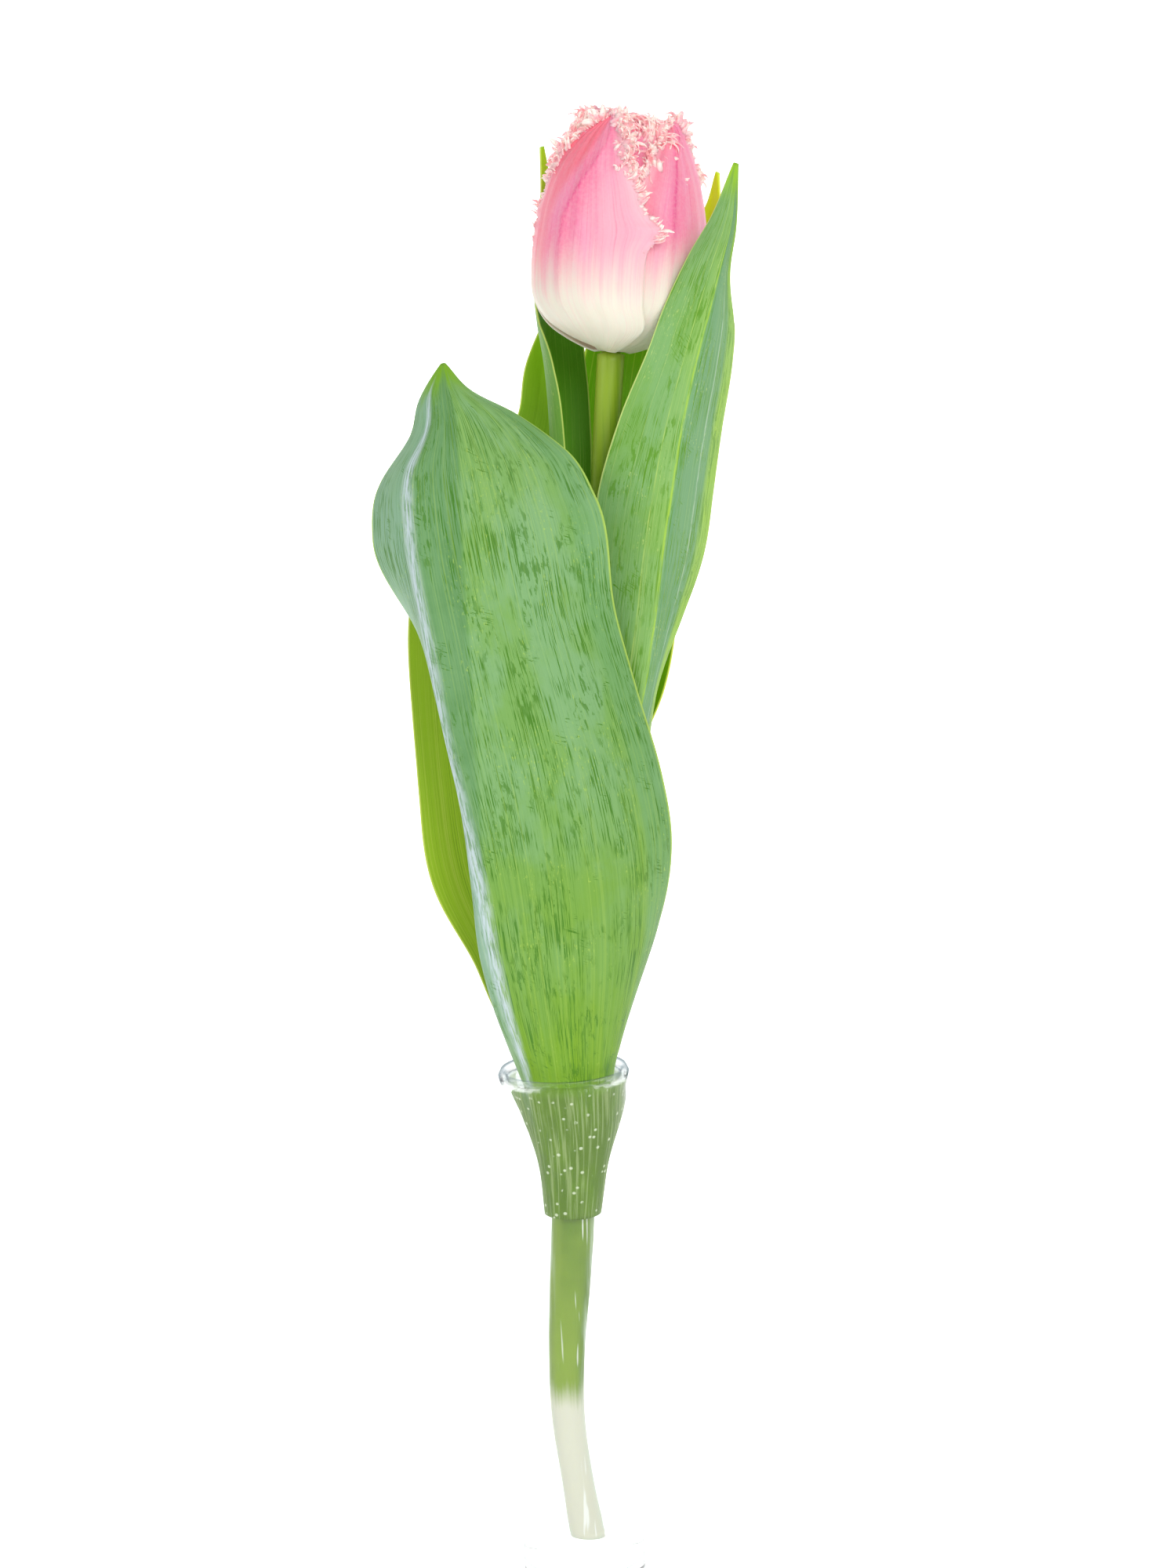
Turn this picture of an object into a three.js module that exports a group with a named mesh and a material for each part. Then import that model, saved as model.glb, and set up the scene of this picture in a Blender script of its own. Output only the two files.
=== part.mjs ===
// A fringed tulip standing in a slim glass tube vase that is filled with water.
// Millimetres, +Z up. The origin is the middle of the vase's flat base.
// The flower's fullest side, with its largest leaf, looks along -Y.

import * as THREE from 'three';

// ---------------------------------------------------------------- driving dimensions
const touch = 0.3; // clearance kept between pieces that bear on each other
const vaseSize = { height: 140, outer: 15.8, bore: 14.5, rim: 16.7, floor: 7, heel: 1.6, lip: 1.3 };
const water = { level: 137.4, aboveFloor: 1.6, heel: 2.6, heelWidth: 3 };
const besideStem = [83, 66, 49.5, 30, 15.6, 14.3]; // heights of the rings of the water's hole for the stem

// The hole in the water where the lowest leaf's sheath goes down: x, y, z, radius.
const besideSheath = [
  [0.1, 0.05, 137.4, 13.5], [0.1, 0.05, 135, 13.5], [0.6, 0.4, 130, 12.8], [1.2, 0.8, 125.8, 11.5],
  [1.3, 0.3, 119, 9.2], [1.1, 0.1, 112.9, 7.6], [0.8, 0, 106, 6.6], [0.7, 0, 100.8, 6.3], [0.4, 0, 97, 5.2],
];
const leafThickness = 0.8;
const petalThickness = 0.7;

// The stem's middle line and radius, from the slanted cut in the water to the neck: x, y, z, radius.
const stemLine = [
  [0.8, 0, 15.6, 3.4], [-0.6, 0, 30, 3.0], [-2.0, 0, 49.5, 3.15], [-1.7, 0, 66, 3.4],
  [-0.6, 0, 83, 3.85], [0.4, 0, 98, 4.05], [1.4, 0, 120, 4.05], [2.4, 0.2, 145, 4.0],
  [4.4, 0.6, 175, 3.9], [7.2, 1.2, 205, 3.8], [11.2, 1.9, 240, 3.65], [14.9, 2.5, 270, 3.5],
  [17.3, 2.9, 297, 3.4], [18.9, 3.1, 314, 3.4], [19.4, 3.2, 319, 3.4],
];
const cutSlant = -0.21; // rise of the cut face over its width, past a square cut
const receptacle = { radius: 2.3, height: 3.4 }; // the knob that carries pistil and stamens

// The bloom stands on the neck and leans a little to +X. Its own frame has z along its axis.
const bloom = { base: [19.4, 3.2, 319.4], lean: 6 };

// The cup that the petals form: height and radius.
const cup = [
  [0.3, 2.8], [1.3, 6.6], [3.6, 12.0], [6.8, 16.9], [12, 20.6], [19, 21.6], [27, 21.5],
  [35, 20.5], [43, 18.5], [49.5, 16], [54.5, 13.4], [58.2, 11], [61, 9.3],
];

// Petals: azimuth, depth under the cup's surface, how far the fringe flares, and the two edges by
// height, in degrees either side of the azimuth. A right edge lies over the next petal's left edge.
const petals = {
  petal_outer_1: { azimuth: -131, inset: 0, flare: 1, seed: 1,
    lobe: { height: 29, spread: 3.2, turn: 10, lift: 1.2 },
    edges: [[0.3, 46, 50], [1.6, 48, 59], [3.6, 49, 65], [12, 49, 59], [29, 49, 57], [37, 46, 53],
      [44, 38, 46], [48, 29, 42], [51.6, 16, 37], [54, 3, 33], [55.8, -13, 29], [56.6, -21, 25]] },
  petal_outer_2: { azimuth: -30, inset: 0, flare: 0.5, seed: 2,
    edges: [[0.3, 45, 44], [1.6, 47, 45], [3.6, 53, 47], [12, 56, 48], [29, 55, 49], [37, 50, 46],
      [43, 42, 42], [48, 33, 37], [52, 21, 30], [54.6, 8, 20], [56, -2, 9], [56.6, -3, 6]] },
  petal_outer_3: { azimuth: 98, inset: 0, flare: 0.3, seed: 3,
    edges: [[0.3, 48, 50], [3.6, 57, 58], [12, 60, 60], [29, 58, 59], [37, 54, 57], [43, 48, 54],
      [49, 36, 47], [54, 24, 36], [57.5, 12, 22], [59.2, 2, 8]] },
  petal_inner_1: { azimuth: -80, inset: 2.6, flare: 0, seed: 4,
    edges: [[0.45, 30, 30], [3.6, 42, 42], [12, 46, 46], [29, 48, 48], [40, 42, 42], [48, 34, 34],
      [54, 22, 24], [57, 8, 8], [57.6, 3, 3]] },
  petal_inner_2: { azimuth: 36, inset: 2.6, flare: 0, seed: 5,
    edges: [[0.45, 30, 30], [3.6, 42, 42], [12, 46, 46], [29, 48, 48], [40, 44, 42], [48, 36, 34],
      [54, 24, 22], [57, 9, 9], [57.8, 3, 3]] },
  petal_inner_3: { azimuth: 158, inset: 2.6, flare: 0, seed: 6,
    edges: [[0.45, 30, 30], [3.6, 42, 42], [12, 46, 46], [29, 48, 48], [40, 44, 42], [48, 36, 34],
      [54, 26, 30], [58, 16, 18], [60.4, 4, 4]] },
};
// How far a petal's two edges part from the cup, and the share of its length where that starts.
const overlapLift = { outer: 0.75, inner: 0.5, start: 0.03 };

// The fringe: where it starts and stops along an edge, how soon it is full, where it loosens
// towards the tip, and its spikes' length, lean and number of steps a row.
const fringe = {
  from: 0.44, until: 0.985, full: 0.12, loosens: 0.62, loose: 0.2,
  length: 3.3, lean: 0.2, spread: 0.28, perStep: 4,
};
const stamenRing = { count: 6, foot: 1.75, spread: 6.2, height: 25 };
const pistilHeight = 24;

// Leaves, each by stations from its clasping base to its tip. A station has a point of the midrib's
// outer face, the azimuth that the outer face looks to, and for each side of the midrib the width
// along the blade, the angle that it cups through, and the angle and place of a sharper fold.
const leaves = {
  leaf_1: { wave: 0.7, waves: 2.6, stations: [
    { at: [0.6, -5.4, 101.8], face: -90, left: [14.1, 150], right: [14.1, 150] },
    { at: [1.1, -6.5, 112.9], face: -90, left: [17, 150], right: [16.9, 150] },
    { at: [1.3, -8.6, 125.8], face: -90, left: [20, 122], right: [20.6, 120] },
    { at: [0.6, -13, 140.8], face: -90, left: [22, 88, 8, 0.6], right: [25, 100] },
    { at: [-0.2, -16.5, 156.1], face: -90, left: [26.5, 58, 40, 0.64], right: [31.5, 86] },
    { at: [-0.8, -19.5, 171.7], face: -90, left: [31, 46, 58, 0.62], right: [36.5, 75] },
    { at: [-1.9, -22, 190.9], face: -90, left: [33.5, 36, 74, 0.57], right: [38, 60] },
    { at: [-3.9, -23.5, 210.7], face: -90, left: [36.5, 30, 80, 0.5], right: [36.5, 50] },
    { at: [-7.5, -24.5, 232.2], face: -90, left: [37.5, 26, 80, 0.48], right: [34, 44] },
    { at: [-11.5, -25, 251.5], face: -90, left: [34, 26, 66, 0.5], right: [32.5, 40] },
    { at: [-16.6, -24.5, 281.9], face: -90, left: [30.5, 20, 34, 0.46], right: [32, 30] },
    { at: [-18.3, -22.5, 295], face: -90, left: [25.5, 32, 28, 0.5], right: [27.5, 34] },
    { at: [-19.6, -19.5, 305.2], face: -90, left: [13, 60], right: [18, 44] },
    { at: [-20.7, -16.5, 312.7], face: -90, left: [9, 60], right: [6, 50] },
    { at: [-21.5, -13, 318.7], face: -90, left: [0.7, 40], right: [0.7, 40] },
  ] },
  leaf_2: { wave: 0.8, waves: 3.1, stations: [
    { at: [-1.1, 5.1, 116], face: 115, left: [13.2, 138], right: [13.2, 138] },
    { at: [-1.7, 6, 126], face: 118, left: [14, 122], right: [14, 122] },
    { at: [-3.3, 9, 137.7], face: 124, left: [16, 96], right: [15, 98] },
    { at: [-6.7, 13, 151.6], face: 119, left: [19, 66], right: [14, 44] },
    { at: [-10.6, 16, 166.7], face: 116, left: [22, 50], right: [14, 24] },
    { at: [-14.7, 18, 188.2], face: 115, left: [24, 44], right: [20.5, 22] },
    { at: [-17.8, 19.5, 210.7], face: 113, left: [25, 40], right: [19.5, 20] },
    { at: [-18.8, 20.5, 233.1], face: 112, left: [25, 38], right: [19, 18] },
    { at: [-17.9, 21, 253.2], face: 110, left: [23, 34], right: [18.5, 18] },
    { at: [-14.6, 21.5, 271.1], face: 108, left: [20, 32], right: [17.5, 18] },
    { at: [-8.3, 22.5, 286.8], face: 106, left: [13, 30], right: [12, 20] },
    { at: [-0.6, 24.5, 302.4], face: 105, left: [8, 30], right: [5.5, 24] },
    { at: [1.8, 25.5, 316.2], face: 105, left: [5, 30], right: [4.5, 28] },
    { at: [3.8, 27.5, 328.8], face: 105, left: [0.7, 20], right: [0.7, 20] },
  ] },
  leaf_3: { wave: 0.5, waves: 2.2, stations: [
    { at: [6.3, -4.4, 162.8], face: -60, left: [13, 138], right: [13, 138] },
    { at: [7.9, -5.2, 179], face: -62, left: [11.5, 100], right: [11.5, 100] },
    { at: [14.8, -7.5, 199.5], face: -68, left: [16, 62, 10, 0.06], right: [12, 62, 12, 0.06] },
    { at: [19.7, -9.2, 219.3], face: -72, left: [18, 32, 16, 0.06], right: [10, 42, 24, 0.06] },
    { at: [24.2, -9.5, 236.8], face: -74, left: [18, 20, 20, 0.06], right: [7, 34, 28, 0.06] },
    { at: [27.4, -9.8, 254.2], face: -75, left: [18, 16, 22, 0.06], right: [12.5, 26, 30, 0.06] },
    { at: [29.7, -10, 269.5], face: -75, left: [18, 14, 22, 0.06], right: [20, 20, 34, 0.06] },
    { at: [32.6, -10.6, 284.6], face: -75, left: [18, 12, 22, 0.06], right: [19, 14, 34, 0.06] },
    { at: [35.5, -11.5, 299.9], face: -75, left: [15.5, 12, 22, 0.06], right: [18.5, 12, 34, 0.06] },
    { at: [39.8, -14, 317.1], face: -74, left: [12, 12, 22, 0.06], right: [16.5, 12, 34, 0.06] },
    { at: [42.7, -16.2, 326.9], face: -72, left: [11, 14, 22, 0.06], right: [13, 14, 34, 0.06] },
    { at: [46.4, -15.2, 339.3], face: -70, left: [8.5, 16, 20, 0.06], right: [4.5, 16, 30, 0.06] },
    { at: [49.3, -11.2, 348.7], face: -68, left: [5.5, 20, 14, 0.06], right: [2, 16, 20, 0.06] },
    { at: [51.5, -5.5, 363.6], face: -66, left: [0.7, 20], right: [0.7, 20] },
  ] },
  leaf_4: { wave: 0.4, waves: 2.4, stations: [
    { at: [2.8, 5.2, 202], face: 135, left: [13.6, 141], right: [13.8, 141] },
    { at: [5.2, 7, 219.7], face: 138, left: [13, 102], right: [14.2, 118] },
    { at: [4.9, 8.4, 239.5], face: 140, left: [12, 80], right: [15, 110] },
    { at: [4.8, 10.2, 259.2], face: 141, left: [11, 60], right: [15, 100] },
    { at: [4.6, 11.4, 279], face: 142, left: [10, 50], right: [12.5, 108] },
    { at: [4.5, 13.2, 298.6], face: 142, left: [10.5, 58], right: [10.5, 104] },
    { at: [4.7, 17, 312.2], face: 141, left: [10, 58], right: [12, 76] },
    { at: [4.4, 21.4, 323.9], face: 139, left: [9.5, 50], right: [12, 52] },
    { at: [4.2, 25, 337.7], face: 136, left: [8.5, 42], right: [9, 46] },
    { at: [4.3, 25.2, 349.4], face: 134, left: [6, 34], right: [3.5, 46] },
    { at: [4.6, 21.2, 360], face: 132, left: [2.5, 30], right: [2, 34] },
    { at: [4.3, 17, 370.9], face: 130, left: [0.7, 20], right: [0.7, 20] },
  ] },
  leaf_5: { wave: 0.5, waves: 2.7, stations: [
    { at: [8.8, 4.5, 182.6], face: 45, left: [12.6, 138], right: [12, 130] },
    { at: [11.3, 6.1, 199.5], face: 47, left: [11.5, 98], right: [8.6, 80] },
    { at: [16.1, 8.6, 216.9], face: 50, left: [13, 60], right: [11.5, 72] },
    { at: [20.3, 12, 234.4], face: 55, left: [14.5, 34], right: [15, 60] },
    { at: [23, 14.5, 252.1], face: 57, left: [15, 26], right: [16, 48] },
    { at: [25.2, 16, 271.8], face: 58, left: [13, 24], right: [16, 42] },
    { at: [27, 17.2, 291.5], face: 58, left: [13, 26], right: [17.5, 38] },
    { at: [29.3, 19.4, 309.1], face: 58, left: [12, 28], right: [19, 34] },
    { at: [32.4, 22.8, 324.7], face: 58, left: [12, 30], right: [17, 36] },
    { at: [38.2, 25.4, 340.3], face: 56, left: [8.5, 30], right: [7.5, 38] },
    { at: [45.8, 22.2, 352.6], face: 52, left: [4.5, 26], right: [2, 36] },
    { at: [48.2, 16.5, 362.8], face: 50, left: [0.7, 20], right: [0.7, 20] },
  ] },
};
const foldSoftness = 0.09; // half the share of a blade's width that a fold turns over
const rippled = { from: 0.3, over: 0.2, tip: 0.15 }; // the stretch of a blade whose margins wave

// Mesh densities.
const leafGrid = { rows: 25, columns: 9 };
const petalGrid = { rows: 17, columns: 9 };
const roundSides = { vase: 44, water: 28, stem: 12, organ: 8 };

const looks = {
  glass: { color: 0xe9f1f2, roughness: 0.04, metalness: 0, transparent: true, opacity: 0.35 },
  water: { color: 0xf1f7f5, roughness: 0.03, metalness: 0, transparent: true, opacity: 0.45 },
  stem: { color: 0x8fae3a, roughness: 0.45, metalness: 0 },
  leaf: { color: 0x5f9a4c, roughness: 0.5, metalness: 0, side: THREE.DoubleSide },
  petal: { color: 0xf48fb4, roughness: 0.5, metalness: 0, side: THREE.DoubleSide },
  pistil: { color: 0xc9d68a, roughness: 0.5, metalness: 0 },
  stamen: { color: 0x5a3b45, roughness: 0.7, metalness: 0 },
};

// ---------------------------------------------------------------- small helpers
const radians = THREE.MathUtils.degToRad;
const mix = THREE.MathUtils.lerp;
const ease = (t) => THREE.MathUtils.smoothstep(t, 0, 1);
const vec = (x, y, z) => new THREE.Vector3(x, y, z);

// A repeatable draw between 0 and 1.
function draw(seed, index) {
  const value = Math.sin(seed * 127.1 + index * 311.7) * 43758.5453;
  return value - Math.floor(value);
}

// Rows of numbers joined by smooth cubics. The spacing is the distance between the rows' first
// `measured` numbers. Returns a function of 0..1 that gives the row there.
function smoothRows(rows, measured) {
  const gap = (a, b) => Math.hypot(...a.slice(0, measured).map((value, i) => value - b[i]));
  const knots = [0];
  for (let i = 1; i < rows.length; i++) knots.push(knots[i - 1] + gap(rows[i], rows[i - 1]));
  const last = rows.length - 1;
  const slope = (i, c) => (rows[i + 1][c] - rows[i][c]) / (knots[i + 1] - knots[i]);
  const tangents = rows.map((row, i) => row.map((_, c) => {
    if (i === 0) return slope(0, c);
    if (i === last) return slope(last - 1, c);
    const before = knots[i] - knots[i - 1];
    const after = knots[i + 1] - knots[i];
    return (slope(i - 1, c) * after + slope(i, c) * before) / (before + after);
  }));
  return (u) => {
    const s = u * knots[last];
    let i = 0;
    while (i < last - 1 && s > knots[i + 1]) i++;
    const h = knots[i + 1] - knots[i];
    const t = (s - knots[i]) / h;
    const a = 2 * t ** 3 - 3 * t ** 2 + 1;
    const b = t ** 3 - 2 * t ** 2 + t;
    const c = -2 * t ** 3 + 3 * t ** 2;
    const d = t ** 3 - t ** 2;
    return rows[i].map((_, k) => (
      a * rows[i][k] + b * h * tangents[i][k] + c * rows[i + 1][k] + d * h * tangents[i + 1][k]));
  };
}

// Collects the corners and faces of one closed solid.
class Solid {
  constructor() {
    this.positions = [];
    this.indices = [];
  }

  corner(point) {
    this.positions.push(point.x, point.y, point.z);
    return this.positions.length / 3 - 1;
  }

  triangle(a, b, c) {
    this.indices.push(a, b, c);
  }

  quad(a, b, c, d) {
    this.triangle(a, b, c);
    this.triangle(a, c, d);
  }

  // A four-sided spike on the face a, b, c, d.
  spike(a, b, c, d, point) {
    const tip = this.corner(point);
    for (const [p, q] of [[a, b], [b, c], [c, d], [d, a]]) this.triangle(p, q, tip);
  }

  mesh(name, look) {
    const geometry = new THREE.BufferGeometry();
    geometry.setAttribute('position', new THREE.Float32BufferAttribute(this.positions, 3));
    geometry.setIndex(this.indices);
    geometry.computeVertexNormals();
    return named(name, geometry, look);
  }
}

function named(name, geometry, look) {
  const mesh = new THREE.Mesh(geometry, new THREE.MeshStandardMaterial(look));
  mesh.name = name;
  return mesh;
}

// A solid through a list of rings, each a list of points, closed by a fan at both ends.
function loft(name, rings, look) {
  const solid = new Solid();
  const corners = rings.map((ring) => ring.map((point) => solid.corner(point)));
  const count = rings[0].length;
  for (let i = 0; i + 1 < rings.length; i++) {
    for (let j = 0; j < count; j++) {
      const k = (j + 1) % count;
      solid.quad(corners[i][j], corners[i][k], corners[i + 1][k], corners[i + 1][j]);
    }
  }
  const middle = (ring) => ring.reduce((sum, point) => sum.add(point), vec(0, 0, 0))
    .divideScalar(ring.length);
  const start = solid.corner(middle(rings[0]));
  const end = solid.corner(middle(rings[rings.length - 1]));
  for (let j = 0; j < count; j++) {
    const k = (j + 1) % count;
    solid.triangle(corners[0][k], corners[0][j], start);
    solid.triangle(corners[rings.length - 1][j], corners[rings.length - 1][k], end);
  }
  return solid.mesh(name, look);
}

// A ring of points round a centre, square to a direction.
function ringAround(centre, direction, radius, sides, shape = () => 1) {
  const along = direction.clone().normalize();
  const back = vec(0, 1, 0).addScaledVector(along, -along.y).normalize();
  const right = new THREE.Vector3().crossVectors(back, along);
  return Array.from({ length: sides }, (_, j) => {
    const angle = (2 * Math.PI * j) / sides;
    const reach = radius * shape(angle);
    return centre.clone()
      .addScaledVector(right, Math.cos(angle) * reach)
      .addScaledVector(back, Math.sin(angle) * reach);
  });
}

// ---------------------------------------------------------------- vase, water and stem
function makeVase() {
  const { height, outer, bore, rim, floor, heel, lip } = vaseSize;
  const profile = [
    [0, 0], [outer - heel, 0], [outer - 0.4, 0.5], [outer, heel], [outer, height - 7],
    [outer + 0.2, height - 3.4], [rim, height - 1.6], [rim, height - 0.7], [rim - 0.5, height],
    [rim - lip + 0.3, height - 0.05], [rim - lip - 0.5, height - 0.9], [bore, height - 4],
    [bore, floor + 4], [bore - 1.6, floor + 1.2], [bore - 5, floor + 0.2], [0, floor],
  ].map(([x, y]) => new THREE.Vector2(x, y));
  const geometry = new THREE.LatheGeometry(profile, roundSides.vase);
  geometry.rotateX(Math.PI / 2);
  return named('vase', geometry, looks.glass);
}

// The stem's centre and radius at a height.
function stemAt(z) {
  let i = 0;
  while (i < stemLine.length - 2 && z > stemLine[i + 1][2]) i++;
  const [from, to] = [stemLine[i], stemLine[i + 1]];
  const t = (z - from[2]) / (to[2] - from[2]);
  return from.map((value, k) => mix(value, to[k], t));
}

// Water fills the bore up to its level, round a plain hole for the stem and the leaf sheath.
function makeWater() {
  const { bore, floor } = vaseSize;
  const bottom = floor + water.aboveFloor;
  const wall = bore - touch;
  const circle = (x, y, z, radius) => ringAround(vec(x, y, z), vec(0, 0, 1), radius, roundSides.water);
  const round = ([x, y, z, radius]) => circle(x, y, z, radius);
  const stemHole = besideStem.map((z) => {
    const [x, y, , radius] = stemAt(z);
    return circle(x, y, z, radius + 2 * touch);
  });
  const rings = [
    circle(0, 0, bottom, wall - water.heelWidth), circle(0, 0, bottom + water.heel, wall),
    circle(0, 0, water.level, wall),
    ...besideSheath.map(round), ...stemHole,
  ];
  return loft('water', rings, looks.water);
}

// The stem, with its slanted cut and the receptacle's step at the top.
function makeStem() {
  const path = new THREE.CatmullRomCurve3(stemLine.map(([x, y, z]) => vec(x, y, z)));
  const rings = stemLine.map(([, , , radius], i) => {
    const t = i / (stemLine.length - 1);
    return ringAround(path.getPoint(t), path.getTangent(t), radius, roundSides.stem);
  });
  for (const point of rings[0]) point.z += (point.x - stemLine[0][0]) * cutSlant;
  const axis = bloomPoint(0, 0, 1).sub(bloomPoint(0, 0, 0));
  const { radius, height } = receptacle;
  const neck = stemLine[stemLine.length - 1][3];
  for (const [r, z] of [[neck, -0.05], [radius, 0], [radius, height - 0.3], [radius - 0.2, height]]) {
    rings.push(ringAround(bloomPoint(0, 0, z), axis, r, roundSides.stem));
  }
  rings.splice(stemLine.length - 1, 1);
  return loft('stem', rings, looks.stem);
}

// ---------------------------------------------------------------- blades
// A thin curved solid. `surface(u, v)` gives a point of its outer face and the direction out of
// that face, u from base to tip and v from -1 at the left edge to 1 at the right edge. Where
// `steps` is above 1, both edges have that many points a row, and `tooth` may stand a spike there.
function makeBlade(name, surface, grid, thickness, look, steps = 1, tooth = () => null) {
  const solid = new Solid();
  const rows = Array.from({ length: grid.rows }, (_, i) => 1 - (1 - i / (grid.rows - 1)) ** 1.12);
  const columns = Array.from({ length: grid.columns }, (_, j) => (2 * j) / (grid.columns - 1) - 1);
  const pair = (u, v) => {
    const { point, out } = surface(u, v);
    return { u, v, face: solid.corner(point), back: solid.corner(point.addScaledVector(out, -thickness)) };
  };
  const inner = rows.map((u) => columns.slice(1, -1).map((v) => pair(u, v)));
  const edge = (v) => rows.flatMap((u, i) => {
    if (i === rows.length - 1) return [pair(u, v)];
    return Array.from({ length: steps }, (_, k) => pair(mix(u, rows[i + 1], k / steps), v));
  });
  const left = edge(-1);
  const right = edge(1);

  // Both faces take the same split, the back one turned over.
  const both = (a, b, c) => {
    solid.triangle(a.face, b.face, c.face);
    solid.triangle(a.back, c.back, b.back);
  };
  for (let i = 0; i + 1 < rows.length; i++) {
    for (let j = 0; j + 1 < inner[i].length; j++) {
      both(inner[i][j], inner[i][j + 1], inner[i + 1][j + 1]);
      both(inner[i][j], inner[i + 1][j + 1], inner[i + 1][j]);
    }
    const half = Math.ceil(steps / 2);
    const last = inner[i].length - 1;
    for (let k = 0; k < steps; k++) {
      const [r0, r1] = [right[i * steps + k], right[i * steps + k + 1]];
      const [l0, l1] = [left[i * steps + k], left[i * steps + k + 1]];
      both(inner[k < half ? i : i + 1][last], r0, r1);
      both(inner[k < half ? i : i + 1][0], l1, l0);
    }
    both(inner[i][last], right[i * steps + half], inner[i + 1][last]);
    both(inner[i][0], inner[i + 1][0], left[i * steps + half]);
  }

  // Side walls, with the spikes, then the two ends.
  const wall = (a, b, c, d, spike) => (spike ? solid.spike(a, b, c, d, spike) : solid.quad(a, b, c, d));
  for (let k = 0; k + 1 < right.length; k++) {
    const [r0, r1, l0, l1] = [right[k], right[k + 1], left[k], left[k + 1]];
    wall(r0.face, r0.back, r1.back, r1.face, tooth(r0.u, r1.u, 1, k));
    wall(l0.face, l1.face, l1.back, l0.back, tooth(l0.u, l1.u, -1, k));
  }
  const bottom = [left[0], ...inner[0], right[0]];
  const top = [left[left.length - 1], ...inner[rows.length - 1], right[right.length - 1]];
  for (let j = 0; j + 1 < bottom.length; j++) {
    const [a, b, c, d] = [bottom[j], bottom[j + 1], top[j], top[j + 1]];
    solid.quad(a.face, a.back, b.back, b.face);
    solid.quad(c.face, d.face, d.back, c.back);
  }
  return solid.mesh(name, look);
}

// A leaf's outer face. Each side leaves the midrib and turns inwards by its cup and fold.
function leafSurface({ stations, wave, waves }) {
  const side = ([width, cupped, fold = 0, place = 0.5]) => [width, cupped, fold, place];
  const rowAt = smoothRows(
    stations.map(({ at, face, left, right }) => [...at, face, ...side(left), ...side(right)]), 3);
  const delta = 1e-3;
  return (u, v) => {
    const row = rowAt(u);
    const [ahead, behind] = [rowAt(Math.min(1, u + delta)), rowAt(Math.max(0, u - delta))];
    const along = vec(...ahead.slice(0, 3)).sub(vec(...behind.slice(0, 3))).normalize();
    const face = radians(row[3]);
    const out = vec(Math.cos(face), Math.sin(face), 0);
    out.addScaledVector(along, -out.dot(along)).normalize();
    const right = new THREE.Vector3().crossVectors(along, out);
    const sign = v < 0 ? -1 : 1;
    const [width, cupped, fold, place] = v < 0 ? row.slice(4, 8) : row.slice(8, 12);
    const turn = (f) => radians(cupped * f + fold * ease((f - place) / (2 * foldSoftness) + 0.5));
    const steps = Math.ceil(Math.abs(v) * 30) || 1;
    let across = 0;
    let depth = 0;
    for (let k = 0; k < steps; k++) {
      const angle = turn(((k + 0.5) / steps) * Math.abs(v));
      across += (Math.cos(angle) * Math.abs(v) * width) / steps;
      depth += (Math.sin(angle) * Math.abs(v) * width) / steps;
    }
    const end = turn(Math.abs(v));
    const normal = out.clone().multiplyScalar(Math.cos(end)).addScaledVector(right, sign * Math.sin(end));
    const ripple = wave * Math.abs(v) ** 3 * Math.sin(2 * Math.PI * (waves * u + sign * 0.2))
      * ease((u - rippled.from) / rippled.over) * ease((1 - u) / rippled.tip);
    const point = vec(row[0], row[1], row[2]).addScaledVector(right, sign * across)
      .addScaledVector(out, -depth).addScaledVector(normal, ripple);
    return { point, out: normal };
  };
}

// ---------------------------------------------------------------- bloom
// A point of the bloom's own frame, in the part's frame.
function bloomPoint(x, y, z) {
  const lean = radians(bloom.lean);
  return vec(
    bloom.base[0] + x * Math.cos(lean) + z * Math.sin(lean),
    bloom.base[1] + y,
    bloom.base[2] - x * Math.sin(lean) + z * Math.cos(lean),
  );
}

const cupAt = smoothRows(cup, 2);

// The share of the cup's profile that lies below a height.
function cupShare(height) {
  let [low, high] = [0, 1];
  for (let i = 0; i < 24; i++) {
    const middle = (low + high) / 2;
    if (cupAt(middle)[0] < height) low = middle;
    else high = middle;
  }
  return low;
}

// A petal's outer face: a patch of the cup. Its right edge is lifted off the cup and its left edge
// is tucked under it, so that the petals overlap in one direction all the way round.
function petalSurface({ azimuth, inset, edges, lobe }) {
  const edgesAt = smoothRows(edges, 1);
  const [bottom, top] = [edges[0][0], edges[edges.length - 1][0]];
  const [from, to] = [cupShare(bottom), cupShare(top)];
  const lift = inset > 0 ? overlapLift.inner : overlapLift.outer;
  const delta = 1e-3;
  const place = (u, v) => {
    const share = mix(from, to, u);
    const [height, radius] = cupAt(share);
    const [h1, r1] = cupAt(Math.min(1, share + delta));
    const [h0, r0] = cupAt(Math.max(0, share - delta));
    const length = Math.hypot(r1 - r0, h1 - h0);
    const [outR, outZ] = [(h1 - h0) / length, -(r1 - r0) / length];
    const [, left, right] = edgesAt((height - bottom) / (top - bottom));
    const bump = lobe ? Math.exp(-(((height - lobe.height) / lobe.spread) ** 2)) * Math.max(0, v) ** 4 : 0;
    const off = lift * Math.sin((v * Math.PI) / 2) * ease(u / overlapLift.start) - inset
      + (lobe ? bump * lobe.lift : 0);
    const r = radius + off * outR;
    const angle = radians(azimuth + mix(-left, right, (v + 1) / 2) + bump * (lobe ? lobe.turn : 0));
    return bloomPoint(r * Math.cos(angle), r * Math.sin(angle), height + off * outZ);
  };
  return (u, v) => {
    const along = place(Math.min(1, u + delta), v).sub(place(Math.max(0, u - delta), v));
    const across = place(u, Math.min(1, v + 0.01)).sub(place(u, Math.max(-1, v - 0.01)));
    return { point: place(u, v), out: new THREE.Vector3().crossVectors(across, along).normalize() };
  };
}

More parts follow.
